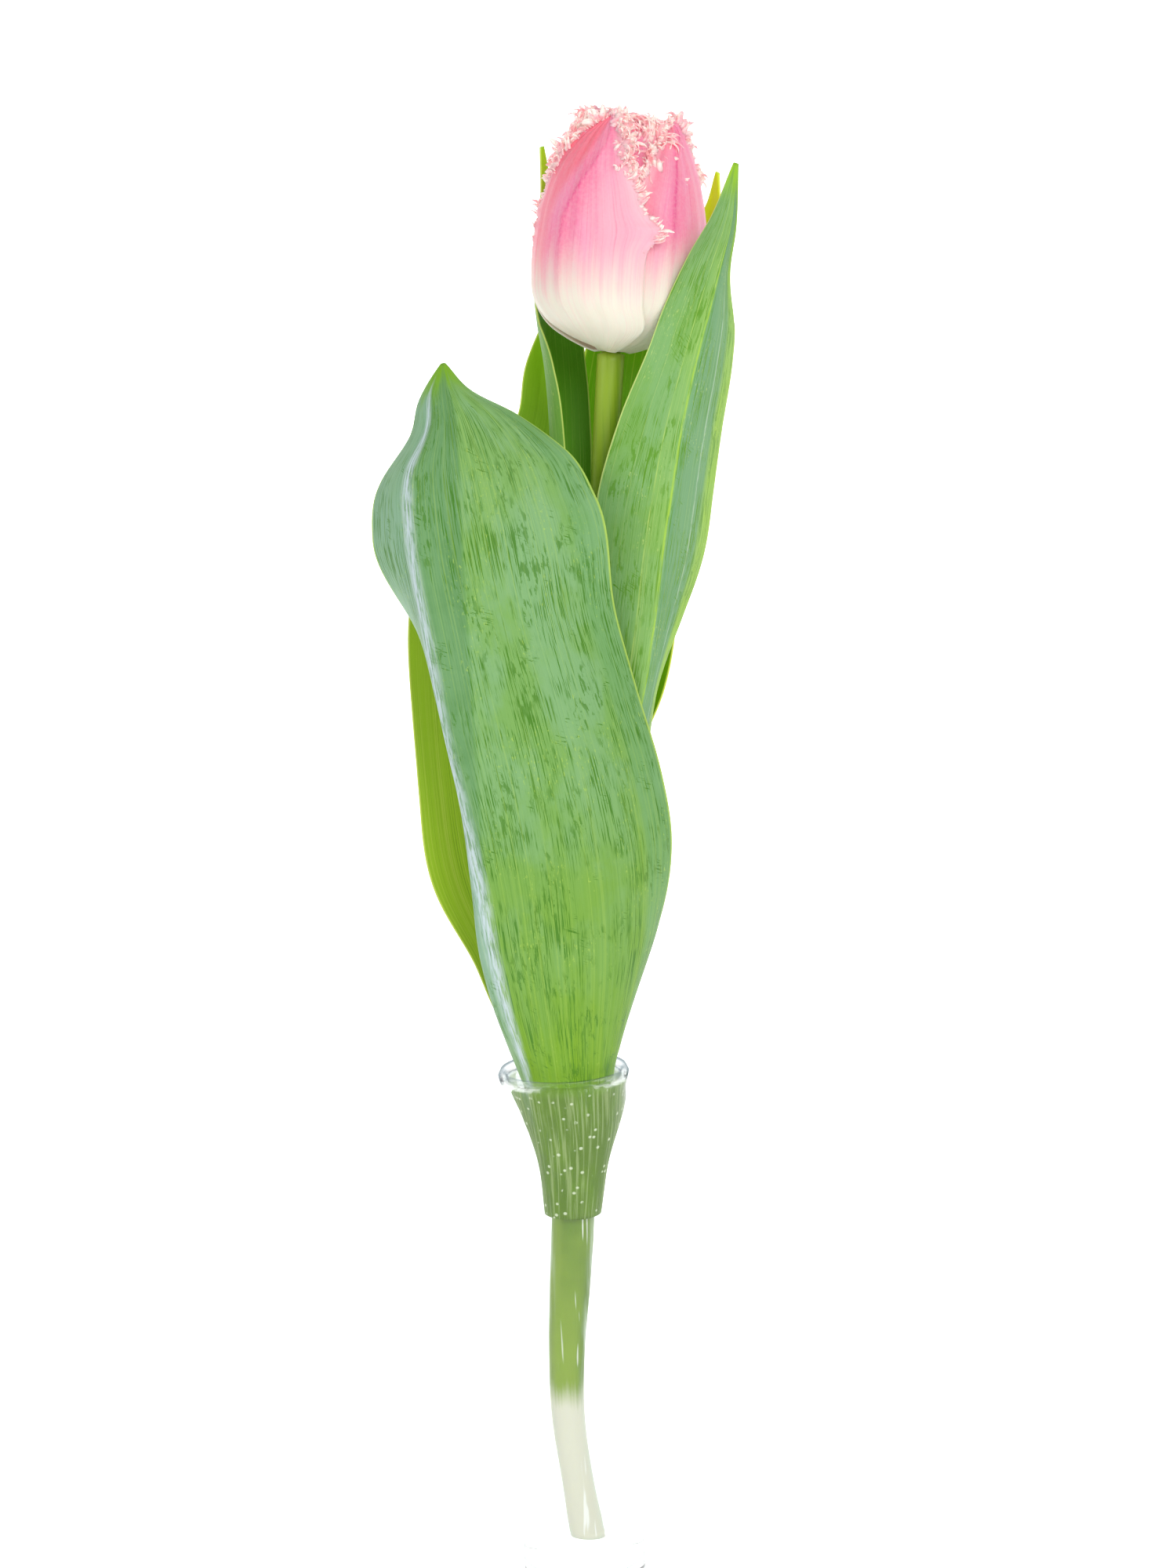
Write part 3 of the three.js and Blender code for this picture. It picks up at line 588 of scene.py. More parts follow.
# each station: a point of the middle line, the way it faces, then for the left and the right side the
# width, the cupping in degrees and, where it folds, the fold in degrees and how far out it lies
leaves = {
    "leaf_1": {"wave": 0.7, "waves": 2.6, "stations": [
        [[0.6, -5.4, 101.8], -90, [14.1, 150], [14.1, 150]],
        [[1.1, -6.5, 112.9], -90, [17, 150], [16.9, 150]],
        [[1.3, -8.6, 125.8], -90, [20, 122], [20.6, 120]],
        [[0.6, -13, 140.8], -90, [22, 88, 8, 0.6], [25, 100]],
        [[-0.2, -16.5, 156.1], -90, [26.5, 58, 40, 0.64], [31.5, 86]],
        [[-0.8, -19.5, 171.7], -90, [31, 46, 58, 0.62], [36.5, 75]],
        [[-1.9, -22, 190.9], -90, [33.5, 36, 74, 0.57], [38, 60]],
        [[-3.9, -23.5, 210.7], -90, [36.5, 30, 80, 0.5], [36.5, 50]],
        [[-7.5, -24.5, 232.2], -90, [37.5, 26, 80, 0.48], [34, 44]],
        [[-11.5, -25, 251.5], -90, [34, 26, 66, 0.5], [32.5, 40]],
        [[-16.6, -24.5, 281.9], -90, [30.5, 20, 34, 0.46], [32, 30]],
        [[-18.3, -22.5, 295], -90, [25.5, 32, 28, 0.5], [27.5, 34]],
        [[-19.6, -19.5, 305.2], -90, [13, 60], [18, 44]],
        [[-20.7, -16.5, 312.7], -90, [9, 60], [6, 50]],
        [[-21.5, -13, 318.7], -90, [0.7, 40], [0.7, 40]],
    ]},
    "leaf_2": {"wave": 0.8, "waves": 3.1, "stations": [
        [[-1.1, 5.1, 116], 115, [13.2, 138], [13.2, 138]],
        [[-1.7, 6, 126], 118, [14, 122], [14, 122]],
        [[-3.3, 9, 137.7], 124, [16, 96], [15, 98]],
        [[-6.7, 13, 151.6], 119, [19, 66], [14, 44]],
        [[-10.6, 16, 166.7], 116, [22, 50], [14, 24]],
        [[-14.7, 18, 188.2], 115, [24, 44], [20.5, 22]],
        [[-17.8, 19.5, 210.7], 113, [25, 40], [19.5, 20]],
        [[-18.8, 20.5, 233.1], 112, [25, 38], [19, 18]],
        [[-17.9, 21, 253.2], 110, [23, 34], [18.5, 18]],
        [[-14.6, 21.5, 271.1], 108, [20, 32], [17.5, 18]],
        [[-8.3, 22.5, 286.8], 106, [13, 30], [12, 20]],
        [[-0.6, 24.5, 302.4], 105, [8, 30], [5.5, 24]],
        [[1.8, 25.5, 316.2], 105, [5, 30], [4.5, 28]],
        [[3.8, 27.5, 328.8], 105, [0.7, 20], [0.7, 20]],
    ]},
    "leaf_3": {"wave": 0.5, "waves": 2.2, "stations": [
        [[6.3, -4.4, 162.8], -60, [13, 138], [13, 138]],
        [[7.9, -5.2, 179], -62, [11.5, 100], [11.5, 100]],
        [[14.8, -7.5, 199.5], -68, [16, 62, 10, 0.06], [12, 62, 12, 0.06]],
        [[19.7, -9.2, 219.3], -72, [18, 32, 16, 0.06], [10, 42, 24, 0.06]],
        [[24.2, -9.5, 236.8], -74, [18, 20, 20, 0.06], [7, 34, 28, 0.06]],
        [[27.4, -9.8, 254.2], -75, [18, 16, 22, 0.06], [12.5, 26, 30, 0.06]],
        [[29.7, -10, 269.5], -75, [18, 14, 22, 0.06], [20, 20, 34, 0.06]],
        [[32.6, -10.6, 284.6], -75, [18, 12, 22, 0.06], [19, 14, 34, 0.06]],
        [[35.5, -11.5, 299.9], -75, [15.5, 12, 22, 0.06], [18.5, 12, 34, 0.06]],
        [[39.8, -14, 317.1], -74, [12, 12, 22, 0.06], [16.5, 12, 34, 0.06]],
        [[42.7, -16.2, 326.9], -72, [11, 14, 22, 0.06], [13, 14, 34, 0.06]],
        [[46.4, -15.2, 339.3], -70, [8.5, 16, 20, 0.06], [4.5, 16, 30, 0.06]],
        [[49.3, -11.2, 348.7], -68, [5.5, 20, 14, 0.06], [2, 16, 20, 0.06]],
        [[51.5, -5.5, 363.6], -66, [0.7, 20], [0.7, 20]],
    ]},
    "leaf_4": {"wave": 0.4, "waves": 2.4, "stations": [
        [[2.8, 5.2, 202], 135, [13.6, 141], [13.8, 141]],
        [[5.2, 7, 219.7], 138, [13, 102], [14.2, 118]],
        [[4.9, 8.4, 239.5], 140, [12, 80], [15, 110]],
        [[4.8, 10.2, 259.2], 141, [11, 60], [15, 100]],
        [[4.6, 11.4, 279], 142, [10, 50], [12.5, 108]],
        [[4.5, 13.2, 298.6], 142, [10.5, 58], [10.5, 104]],
        [[4.7, 17, 312.2], 141, [10, 58], [12, 76]],
        [[4.4, 21.4, 323.9], 139, [9.5, 50], [12, 52]],
        [[4.2, 25, 337.7], 136, [8.5, 42], [9, 46]],
        [[4.3, 25.2, 349.4], 134, [6, 34], [3.5, 46]],
        [[4.6, 21.2, 360], 132, [2.5, 30], [2, 34]],
        [[4.3, 17, 370.9], 130, [0.7, 20], [0.7, 20]],
    ]},
    "leaf_5": {"wave": 0.5, "waves": 2.7, "stations": [
        [[8.8, 4.5, 182.6], 45, [12.6, 138], [12, 130]],
        [[11.3, 6.1, 199.5], 47, [11.5, 98], [8.6, 80]],
        [[16.1, 8.6, 216.9], 50, [13, 60], [11.5, 72]],
        [[20.3, 12, 234.4], 55, [14.5, 34], [15, 60]],
        [[23, 14.5, 252.1], 57, [15, 26], [16, 48]],
        [[25.2, 16, 271.8], 58, [13, 24], [16, 42]],
        [[27, 17.2, 291.5], 58, [13, 26], [17.5, 38]],
        [[29.3, 19.4, 309.1], 58, [12, 28], [19, 34]],
        [[32.4, 22.8, 324.7], 58, [12, 30], [17, 36]],
        [[38.2, 25.4, 340.3], 56, [8.5, 30], [7.5, 38]],
        [[45.8, 22.2, 352.6], 52, [4.5, 26], [2, 36]],
        [[48.2, 16.5, 362.8], 50, [0.7, 20], [0.7, 20]],
    ]},
}

leafLooks = {
    "leaf_1": {
        "green": colour(112, 162, 44), "waxy": colour(128, 174, 118), "foot": colour(118, 162, 0),
        "rubbedAndShade": colour(60, 120, 0), "margin": colour(180, 210, 90), "inner": colour(96, 140, 50),
        "tip": colour(120, 172, 30), "wax": 0.9, "footTo": 0.72, "marked": 0.85, "glow": 0.03,
        "seed": 3.0, "shade": (0.45, 0.75),
        "bands": [
            # painted reflection: a pale bluish sheen beyond the fold, where the blade turns away
            {"left": (-1.3, 0), "right": (-0.5, 0), "tone": colour(140, 176, 160), "amount": 0.7},
            # painted shade: a darker band between the fold and the flat main face
            {"left": (-0.5, 0), "right": (-0.86, 0.97), "tone": colour(78, 130, 76), "amount": 0.75},
            {"left": (0.74, 0), "right": (1.3, 0), "tone": colour(104, 158, 96), "amount": 0.5},
        ],
        "lines": [
            # painted highlight: a broad pale line along the fold, broken into flecks
            {"at": (-0.5, 0), "wide": 0.1, "tone": colour(204, 218, 226), "amount": 0.85},
            {"at": (-0.86, 0.97), "wide": 0.012, "tone": colour(80, 140, 40), "amount": 0.3},
        ],
    },
    "leaf_2": {
        "green": colour(96, 146, 40), "waxy": colour(116, 162, 100), "foot": colour(118, 164, 20),
        # the bright yellow-green inner tone is partly the blade's colour and partly painted light, for light
        # passing through the blade
        "rubbedAndShade": colour(72, 126, 14), "margin": colour(206, 222, 100), "inner": colour(166, 204, 50),
        "tip": colour(150, 196, 30), "wax": 0.5, "footTo": 0.75, "marked": 0.5, "glow": 0.2,
        "seed": 7.0, "shade": (0.6, 0.8),
        "bands": [{"left": (-0.4, 0), "right": (0.1, 0), "tone": colour(110, 166, 50), "amount": 0.4}],
        "lines": [],
    },
    "leaf_3": {
        "green": colour(114, 166, 52), "waxy": colour(130, 178, 116), "foot": colour(118, 172, 40),
        "rubbedAndShade": colour(86, 144, 20), "margin": colour(206, 224, 130), "inner": colour(90, 140, 60),
        "tip": colour(150, 200, 40), "wax": 0.75, "footTo": 0.3, "marked": 0.9, "glow": 0.04,
        "seed": 11.0, "shade": (0.45, 0.75),
        "bands": [
            {"left": (0.02, 0), "right": (0.75, 0), "tone": colour(106, 154, 116), "amount": 0.75},
            {"left": (0.62, 0.1), "right": (1.3, 0), "tone": colour(160, 202, 50), "amount": 0.7},
            {"left": (-0.26, 0), "right": (0, 0), "tone": colour(142, 188, 84), "amount": 0.5},
        ],
        "lines": [
            {"at": (0.0, 0), "wide": 0.03, "tone": colour(170, 208, 70), "amount": 0.8},
            {"at": (-0.25, 0), "wide": 0.015, "tone": colour(186, 214, 110), "amount": 0.6},
            {"at": (0.5, 0), "wide": 0.03, "tone": colour(200, 220, 196), "amount": 0.5},
        ],
    },
    "leaf_4": {
        "green": colour(106, 158, 46), "waxy": colour(122, 168, 96), "foot": colour(110, 166, 20),
        "rubbedAndShade": colour(76, 138, 10), "margin": colour(200, 220, 110), "inner": colour(96, 150, 34),
        "tip": colour(150, 200, 10), "wax": 0.5, "footTo": 0.2, "marked": 0.4, "glow": 0.12,
        "seed": 17.0, "shade": (0.3, 0.6), "bands": [], "lines": [],
    },
    "leaf_5": {
        "green": colour(98, 148, 44), "waxy": colour(118, 162, 100), "foot": colour(110, 176, 6),
        "rubbedAndShade": colour(100, 160, 6), "margin": colour(214, 228, 90), "inner": colour(112, 176, 12),
        "tip": colour(190, 214, 20), "wax": 0.3, "footTo": 0.3, "marked": 0.3, "glow": 0.25,
        "seed": 23.0, "shade": (0.45, 0.75), "bands": [], "lines": [],
    },
}
sheathTones = {"wet": colour(84, 118, 0), "pale": colour(176, 192, 132), "bead": colour(232, 238, 210)}
leafMesh = {
    "rows": 170, "columns": 81, "thickness": 0.8, "foldSoftness": 0.06, "foldSteps": 60,
    "keel": 0.3, "keelWidth": 1.3, "bunching": 0.92,
}


def leafSurface(leaf, us, vs):
    def whole(side):
        # a side without a fold gets none
        return [*side, *(0, 0.5)[len(side) - 2:]]

    stations = [[*at, face, *whole(left), *whole(right)] for at, face, left, right in leaf["stations"]]
    rowAt = smoothRows(stations, 3)
    rows = rowAt(us)
    along = unit(rowAt(us + 1e-3)[:, :3] - rowAt(us - 1e-3)[:, :3])
    face = np.radians(rows[:, 3])
    out = np.stack([np.cos(face), np.sin(face), 0 * face], -1)
    out = unit(out - along * np.sum(out * along, -1, keepdims=True))
    right = np.cross(along, out)
    points = np.zeros((len(us), len(vs), 3))
    normals = np.zeros_like(points)
    fine = leafMesh["foldSteps"]
    middles = (np.arange(fine) + 0.5) / fine
    for sign, first in ((-1, 4), (1, 8)):
        width, cupped, fold, where = (rows[:, first + k][:, None] for k in range(4))

        def turn(f):
            return np.radians(cupped * f + fold * ease((f - where) / (2 * leafMesh["foldSoftness"]) + 0.5))

        angle = turn(middles[None])
        start = np.zeros((len(us), 1))
        across = np.concatenate([start, np.cumsum(np.cos(angle) * width / fine, 1)], 1)
        depth = np.concatenate([start, np.cumsum(np.sin(angle) * width / fine, 1)], 1)
        columns = np.where(vs * sign >= 0)[0]
        spot = np.abs(vs[columns]) * fine
        low = np.minimum(spot.astype(int), fine - 1)
        share = spot - low
        x = across[:, low] * (1 - share) + across[:, low + 1] * share
        y = depth[:, low] * (1 - share) + depth[:, low + 1] * share
        end = turn(np.abs(vs[columns])[None])
        normal = out[:, None] * np.cos(end)[..., None] + right[:, None] * (sign * np.sin(end))[..., None]
        distance = np.abs(vs[columns])[None]
        ripple = (
            leaf["wave"] * distance**3 * np.sin(2 * math.pi * (leaf["waves"] * us[:, None] + sign * 0.2))
            * ease((us[:, None] - 0.3) / 0.2) * ease((1 - us[:, None]) / 0.15)
        )
        keel = leafMesh["keel"] * np.exp(-distance * width / leafMesh["keelWidth"])
        ripple = ripple + keel * ease(us[:, None] / 0.2) * ease((1 - us[:, None]) / 0.1)
        points[:, columns] = (
            rows[:, None, :3] + right[:, None] * (sign * x)[..., None] - out[:, None] * y[..., None]
            + normal * ripple[..., None]
        )
        normals[:, columns] = normal
    return points, normals


def leafMaterial(name, look, long, wide):
    material, tree, shader = newMaterial(name)
    blade, u, v, inner = bladeParts(tree)
    seed = look["seed"]

    def marks(markLong, markWide, offset, low, high):
        # uneven marks of about this length and width in millimetres
        shares = {"Across": wide / markWide, "Along": long / markLong}
        given = {"Blade": blade, **shares, "Seed": seed + offset, "Low": low, "High": high}
        return place(tree, longStreaks, given)["Mask"]

    def apart(line):
        # how far a point lies to the right of a line that crosses the blade
        return sums(tree, "SUBTRACT", v, sums(tree, "MULTIPLY_ADD", u, float(line[1]), float(line[0])))

    def banded(base, share):
        # broad bands, each between two lines
        for band in look["bands"]:
            left = steps(tree, apart(band["left"]), -0.05, 0.05)
            right = steps(tree, apart(band["right"]), -0.03, 0.03)
            shown = times(tree, sums(tree, "SUBTRACT", left, right), steps(tree, u, 0.04, 0.35))
            shown = sums(tree, "MULTIPLY", shown, band["amount"] * share, clamp=True)
            base = blend(tree, shown, base, band["tone"])
        return base

    veins = place(tree, fineVeins, {"Blade": blade, "Seed": seed, "Across": wide / 0.45})
    rubs = place(tree, rubbedMarks, {"Blade": blade, "Seed": seed + 5, "Long": long, "Wide": wide})
    patches = marks(26, 15, 0, 0.4, 0.58)
    uneven = sums(tree, "MULTIPLY_ADD", marks(60, 4, 1, 0.3, 0.7), 0.1, u)
    fade = steps(tree, uneven, look["footTo"] * 0.15, look["footTo"])
    wax = times(tree, sums(tree, "MULTIPLY_ADD", patches, 0.5, 0.5), look["wax"])
    base = banded(blend(tree, fade, look["foot"], look["green"]), 1)
    base = banded(blend(tree, times(tree, wax, fade), base, look["waxy"]), 0.6)
    base = coats(tree, base, look, [
        ("rubbedAndShade", rubs["Mask"], look["marked"]),
        ("margin", rubs["Pale"], 0.5),
        ("margin", veins["Mask"], 0.2),
        ("rubbedAndShade", veins["Dark"], 0.26),
    ])
    # lines along the blade: pale keels and veins, and on leaf_1 a painted highlight along the fold, broken
    # into flecks
    for line in look["lines"]:
        on = opposite(tree, steps(tree, sums(tree, "ABSOLUTE", apart(line["at"])), 0.0, line["wide"]))
        on = times(tree, on, times(tree, steps(tree, u, 0.04, 0.2), line["amount"]))
        broken = sums(tree, "MULTIPLY_ADD", marks(6, 0.6, 3, 0.4, 0.56), 0.75, 0.25)
        base = blend(tree, times(tree, on, broken), base, line["tone"])
    inside = coats(tree, look["inner"], look, [
        ("margin", veins["Mask"], 0.5),
        ("rubbedAndShade", veins["Dark"], 0.5),
        # painted shade: the inner face turns darker from part way up, where the bloom shades it, and lighter
        # again at the tip
        ("rubbedAndShade", steps(tree, u, *look["shade"]), 0.6),
    ])
    inside = blend(tree, steps(tree, u, 0.84, 0.98), inside, look["tip"])
    base = blend(tree, inner, base, inside)
    top = steps(tree, sums(tree, "MULTIPLY_ADD", patches, 0.02, u), 0.965, 1.01)
    edge = steps(tree, sums(tree, "ABSOLUTE", v), 0.975, 0.995)
    base = coats(tree, blend(tree, top, base, look["tip"]), look, [("margin", edge, 0.85)])
    # wet and beaded with bubbles under water
    level = vaseLook["waterLevel"]
    dry = steps(tree, objectParts(tree)[2], (level - 2.9) * mm, (level + 1.1) * mm)
    cells = {"Vector": add(tree, "TexCoord").outputs["Object"], "Scale": 420.0, "Randomness": 1.0}
    bubbles = opposite(tree, steps(tree, add(tree, "TexVoronoi", cells).outputs["Distance"], 0.12, 0.22))
    under = blend(tree, sums(tree, "MULTIPLY_ADD", patches, 0.22, 0.72), base, sheathTones["wet"])
    under = coats(tree, under, sheathTones, [
        ("pale", marks(24, 1.1, 6, 0.48, 0.6), 0.45),
        ("bead", times(tree, bubbles, marks(6, 5, 4, 0.36, 0.44)), 0.7),
    ])
    base = blend(tree, opposite(tree, dry), base, under)
    relief = sums(tree, "ADD", veins["Height"], times(tree, rubs["Mask"], -0.25))
    fill(tree, shader.inputs, {
        "Base Color": base,
        "Roughness": sums(tree, "MULTIPLY_ADD", rubs["Mask"], -0.12, 0.5),
        "Specular IOR Level": 0.28,
        "Emission Color": base,  # painted glow: the leaf emits some of its own colour, standing in for light that passes through the thin tissue
        "Emission Strength": look["glow"],
        "Normal": bumps(tree, relief, 0.3, 0.0004),
    })
    return material


def makeLeaf(name, leaf):
    bunching = leafMesh["bunching"]
    us = 1 - (1 - np.linspace(0, 1, leafMesh["rows"])) ** 1.05
    spread = np.sin(np.linspace(-1, 1, leafMesh["columns"]) * math.pi / 2 * bunching)
    vs = spread / math.sin(math.pi / 2 * bunching)
    points, normals = leafSurface(leaf, us, vs)
    points[..., 1] = np.maximum(points[..., 1], cadBox[0][1] / mm)
    thickness = leafMesh["thickness"] * (1 - 0.5 * np.abs(vs) ** 6)[None] * np.ones((len(us), 1))
    shape = Shape()
    sheet(shape, points, normals, thickness, us, vs)
    stations = leaf["stations"]
    long = sum(math.dist(a[0], b[0]) for a, b in zip(stations, stations[1:]))
    wide = max(left[0] + right[0] for _, _, left, right in stations)
    shape.piece(name + "_blade", leafMaterial(name + "_skin", leafLooks[name], long, wide), "leaf", name)


for name, leaf in leaves.items():
    makeLeaf(name, leaf)
print("leaves made")

# the cup that the petals form: height and radius
cup = [
    [0.3, 2.8], [1.3, 6.6], [3.6, 12.0], [6.8, 16.9], [12, 20.6], [19, 21.6], [27, 21.5],
    [35, 20.5], [43, 18.5], [49.5, 16], [54.5, 13.4], [58.2, 11], [61, 9.3],
]
innerFoot = [[0.45, 30, 30], [3.6, 42, 42], [12, 46, 46], [29, 48, 48]]
# a petal's edges: height, and how far round the cup its left and its right edge lie, in degrees
petals = {
    "petal_outer_1": {
        "azimuth": -131, "inset": 0, "flare": 1, "seed": 1,
        "lobe": {"height": 29, "spread": 3.2, "turn": 10, "lift": 1.2},
        "edges": [
            [0.3, 46, 50], [1.6, 48, 59], [3.6, 49, 65], [12, 49, 59], [29, 49, 57], [37, 46, 53],
            [44, 38, 46], [48, 29, 42], [51.6, 16, 37], [54, 3, 33], [55.8, -13, 29], [56.6, -21, 25],
        ],
    },
    "petal_outer_2": {
        "azimuth": -30, "inset": 0, "flare": 0.5, "seed": 2,
        "edges": [
            [0.3, 45, 44], [1.6, 47, 45], [3.6, 53, 47], [12, 56, 48], [29, 55, 49], [37, 50, 46],
            [43, 42, 42], [48, 33, 37], [52, 21, 30], [54.6, 8, 20], [56, -2, 9], [56.6, -3, 6],
        ],
    },
    "petal_outer_3": {
        "azimuth": 98, "inset": 0, "flare": 0.3, "seed": 3,
        "edges": [
            [0.3, 48, 50], [3.6, 57, 58], [12, 60, 60], [29, 58, 59], [37, 54, 57], [43, 48, 54],
            [49, 36, 47], [54, 24, 36], [57.5, 12, 22], [59.2, 2, 8],
        ],
    },
    "petal_inner_1": {
        "azimuth": -80, "inset": 2.6, "flare": 0, "seed": 4,
        "edges": [*innerFoot, [40, 42, 42], [48, 34, 34], [54, 22, 24], [57, 8, 8], [57.6, 3, 3]],
    },
    "petal_inner_2": {
        "azimuth": 36, "inset": 2.6, "flare": 0, "seed": 5,
        "edges": [*innerFoot, [40, 44, 42], [48, 36, 34], [54, 24, 22], [57, 9, 9], [57.8, 3, 3]],
    },
    "petal_inner_3": {
        "azimuth": 158, "inset": 2.6, "flare": 0, "seed": 6,
        "edges": [*innerFoot, [40, 44, 42], [48, 36, 34], [54, 26, 30], [58, 16, 18], [60.4, 4, 4]],
    },
}
plainPetal = {"blush": (0.3, 0.58), "ridge": (0, 0, 0.5), "ridgeHigh": 0.2, "leftTone": 0.4, "pale": 0.4}
petalLooks = {
    "petal_outer_1": {
        "blush": (0.27, 0.56), "ridge": (-0.07, 0.78, 0.58), "ridgeHigh": 0.8, "leftTone": 0.9,
        "pale": 0.75, "crest": 1.5,
        "tufts": [
            {"u": 0.765, "side": 1, "count": 9, "length": 6.0, "wide": 0.5, "turn": 5.2, "spread": 0.014},
            {"u": 0.7, "side": 1, "count": 10, "length": 3.6, "wide": 0.5, "turn": 1.4, "spread": 0.03},
            {"u": 0.55, "side": 1, "count": 9, "length": 3.0, "wide": 0.45, "turn": 0.9, "spread": 0.02},
            {"u": 0.6, "side": -1, "count": 5, "length": 2.6, "wide": 0.4, "turn": 0.6, "spread": 0.02},
        ],
    },
    "petal_outer_2": {
        "blush": (0.33, 0.6), "ridge": (-0.36, 0.5, 0.82), "ridgeHigh": 0.7, "leftTone": 0.35,
        "pale": 0.1, "crest": 1.0,
        "tufts": [
            {"u": 0.8, "side": -1, "count": 8, "length": 3.5, "wide": 0.4, "turn": 2.5, "spread": 0.03},
        ],
    },
    "petal_outer_3": {
        **plainPetal, "ridgeHigh": 0.5, "crest": 1.4,
        "tufts": [
            {"u": 0.93, "side": 1, "count": 16, "length": 5.6, "wide": 0.45, "turn": 1.8, "spread": 0.05},
        ],
    },
    "petal_inner_1": {
        **plainPetal, "pale": 0.5, "crest": 1.5, "band": 0.95,
        "tufts": [
            {"u": 0.86, "side": -1, "count": 14, "length": 4.5, "wide": 0.5, "turn": 2.6, "spread": 0.07},
            {"u": 0.86, "side": 1, "count": 14, "length": 4.5, "wide": 0.5, "turn": 2.6, "spread": 0.07},
        ],
    },
    "petal_inner_2": {**plainPetal, "crest": 1.1, "tufts": []},
    "petal_inner_3": {
        **plainPetal, "crest": 1.6,
        "tufts": [
            {"u": 0.93, "side": 1, "count": 20, "length": 6.0, "wide": 0.5, "turn": 2.2, "spread": 0.05},
            {"u": 0.84, "side": 1, "count": 12, "length": 4.0, "wide": 0.45, "turn": 2.0, "spread": 0.05},
        ],
    },
}
petalMesh = {"rows": 130, "columns": 61, "thickness": 0.7, "outerLift": 0.75, "innerLift": 0.5}
fringeLook = {
    "from": 0.42, "edge": 100, "band": 60, "length": 3.2, "steps": 10, "sides": 4, "wide": 0.78,
    "flat": 0.34, "taper": 0.86, "clumps": 24, "ragged": 2.4, "clear": 0.4,
}
cupAt = smoothRows(cup, 2)
cupShares = np.linspace(0, 1, 2001)
cupHeights = cupAt(cupShares)[:, 0]


def cupShare(height):
    return np.interp(height, cupHeights, cupShares)


def petalPoint(petal, look, u, v):
    u, v = np.broadcast_arrays(np.asarray(u, float), np.asarray(v, float))
    edges = petal["edges"]
    bottom, top = edges[0][0], edges[-1][0]
    share = mix(cupShare(bottom), cupShare(top), u)
    row, ahead, behind = cupAt(share), cupAt(share + 1e-3), cupAt(share - 1e-3)
    run = ahead - behind
    length = np.hypot(run[..., 0], run[..., 1])
    outR, outZ = run[..., 0] / length, -run[..., 1] / length
    height, radius = row[..., 0], row[..., 1]
    sides = smoothRows(edges, 1)((height - bottom) / (top - bottom))
    lift = petalMesh["innerLift"] if petal["inset"] else petalMesh["outerLift"]
    off = lift * np.sin(v * math.pi / 2) * ease(u / 0.03) - petal["inset"]
    turn = 0
    if "lobe" in petal:
        lobe = petal["lobe"]
        bump = np.exp(-(((height - lobe["height"]) / lobe["spread"]) ** 2)) * np.maximum(0, v) ** 4
        off = off + bump * lobe["lift"]
        turn = bump * lobe["turn"]
    low, rise, start = look["ridge"]
    ridge = low + rise * ease((u - start) / (1 - start))
    fold = look["ridgeHigh"] * (np.exp(-np.abs(v - ridge) / 0.22) - 0.35)
    fold = fold * ease((u - 0.25) / 0.3) * ease((1 - u) / 0.06)
    seed = petal["seed"]
    ripple = 0.16 * np.sin(9 * v + 2.2 * seed) * np.sin(6 * u + seed) + 0.1 * np.sin(21 * v + 5 * u + seed)
    crimp = 0.35 * np.abs(v) ** 6 * np.sin(90 * u + 7 * np.sin(11 * u + seed)) * ease((u - 0.45) / 0.2)
    off = off + (fold + ripple) * ease(u / 0.2) * (1 - 0.5 * np.abs(v) ** 4) + crimp
    r = radius + off * outR
    angle = np.radians(petal["azimuth"] + mix(-sides[..., 1], sides[..., 2], (v + 1) / 2) + turn)
    return bloomPoint(r * np.cos(angle), r * np.sin(angle), height + off * outZ)


def petalNormal(petal, look, u, v):
    def point(up, over):
        return petalPoint(petal, look, up, over)

    along = point(np.minimum(1, u + 2e-3), v) - point(np.maximum(0, u - 2e-3), v)
    across = point(u, np.minimum(1, v + 0.01)) - point(u, np.maximum(-1, v - 0.01))
    return unit(np.cross(across, along)), unit(along)


def strands(shape, roots, heading, bend, lengths, widths, turns, u, side):
    # tapering curled threads, all made at once
    rows, sides = fringeLook["steps"], fringeLook["sides"]
    t = np.linspace(0, 1, rows)
    bend = unit(bend - heading * np.sum(bend * heading, -1, keepdims=True))
    flat = np.cross(heading, bend)
    angle = turns[:, None] * t[None] ** 1.4
    direction = heading[:, None] * np.cos(angle)[..., None] + bend[:, None] * np.sin(angle)[..., None]
    middle = (direction[:, 1:] + direction[:, :-1]) / 2 * (lengths / (rows - 1))[:, None, None]
    path = np.concatenate([np.zeros((len(roots), 1, 3)), np.cumsum(middle, 1)], 1)
    # none reaches past the solids' own top and front, and they stop at uneven heights
    clear = fringeLook["clear"]
    top = cadBox[1][2] / mm - clear - fringeLook["ragged"] * draw(len(roots), np.arange(len(roots)))
    front = cadBox[0][1] / mm + clear
    up = (top - roots[:, 2]) / np.maximum(path[..., 2].max(1), 1e-6)
    out = (front - roots[:, 1]) / np.minimum(path[..., 1].min(1), -1e-6)
    fit = np.clip(np.minimum(up, out), 0.1, 1)
    centres = roots[:, None] + path * fit[:, None, None]
    other = np.cross(direction, flat[:, None])
    radius = widths[:, None] * (1 - fringeLook["taper"] * t[None] ** 2.2)
    ring = np.linspace(0, 2 * math.pi, sides, endpoint=False)
    points = (
        centres[:, :, None]
        + flat[:, None, None] * (radius[..., None] * np.cos(ring))[..., None]
        + other[:, :, None] * (fringeLook["flat"] * radius[..., None] * np.sin(ring))[..., None]
    )
    marks = np.zeros(points.shape[:3] + (4,))
    marks[..., 0] = (side + 1) / 2
    marks[..., 1] = u[:, None, None]
    marks[..., 3] = mix(0.3, 1, t)[None, :, None]
    one = ringFaces(rows, sides) + [list(range(sides))[::-1], list(range((rows - 1) * sides, rows * sides))]
    faces = []
    for k in range(len(roots)):
        start = k * rows * sides
        faces += [[corner + start for corner in face] for face in one]
    shape.add(points, faces, marks)


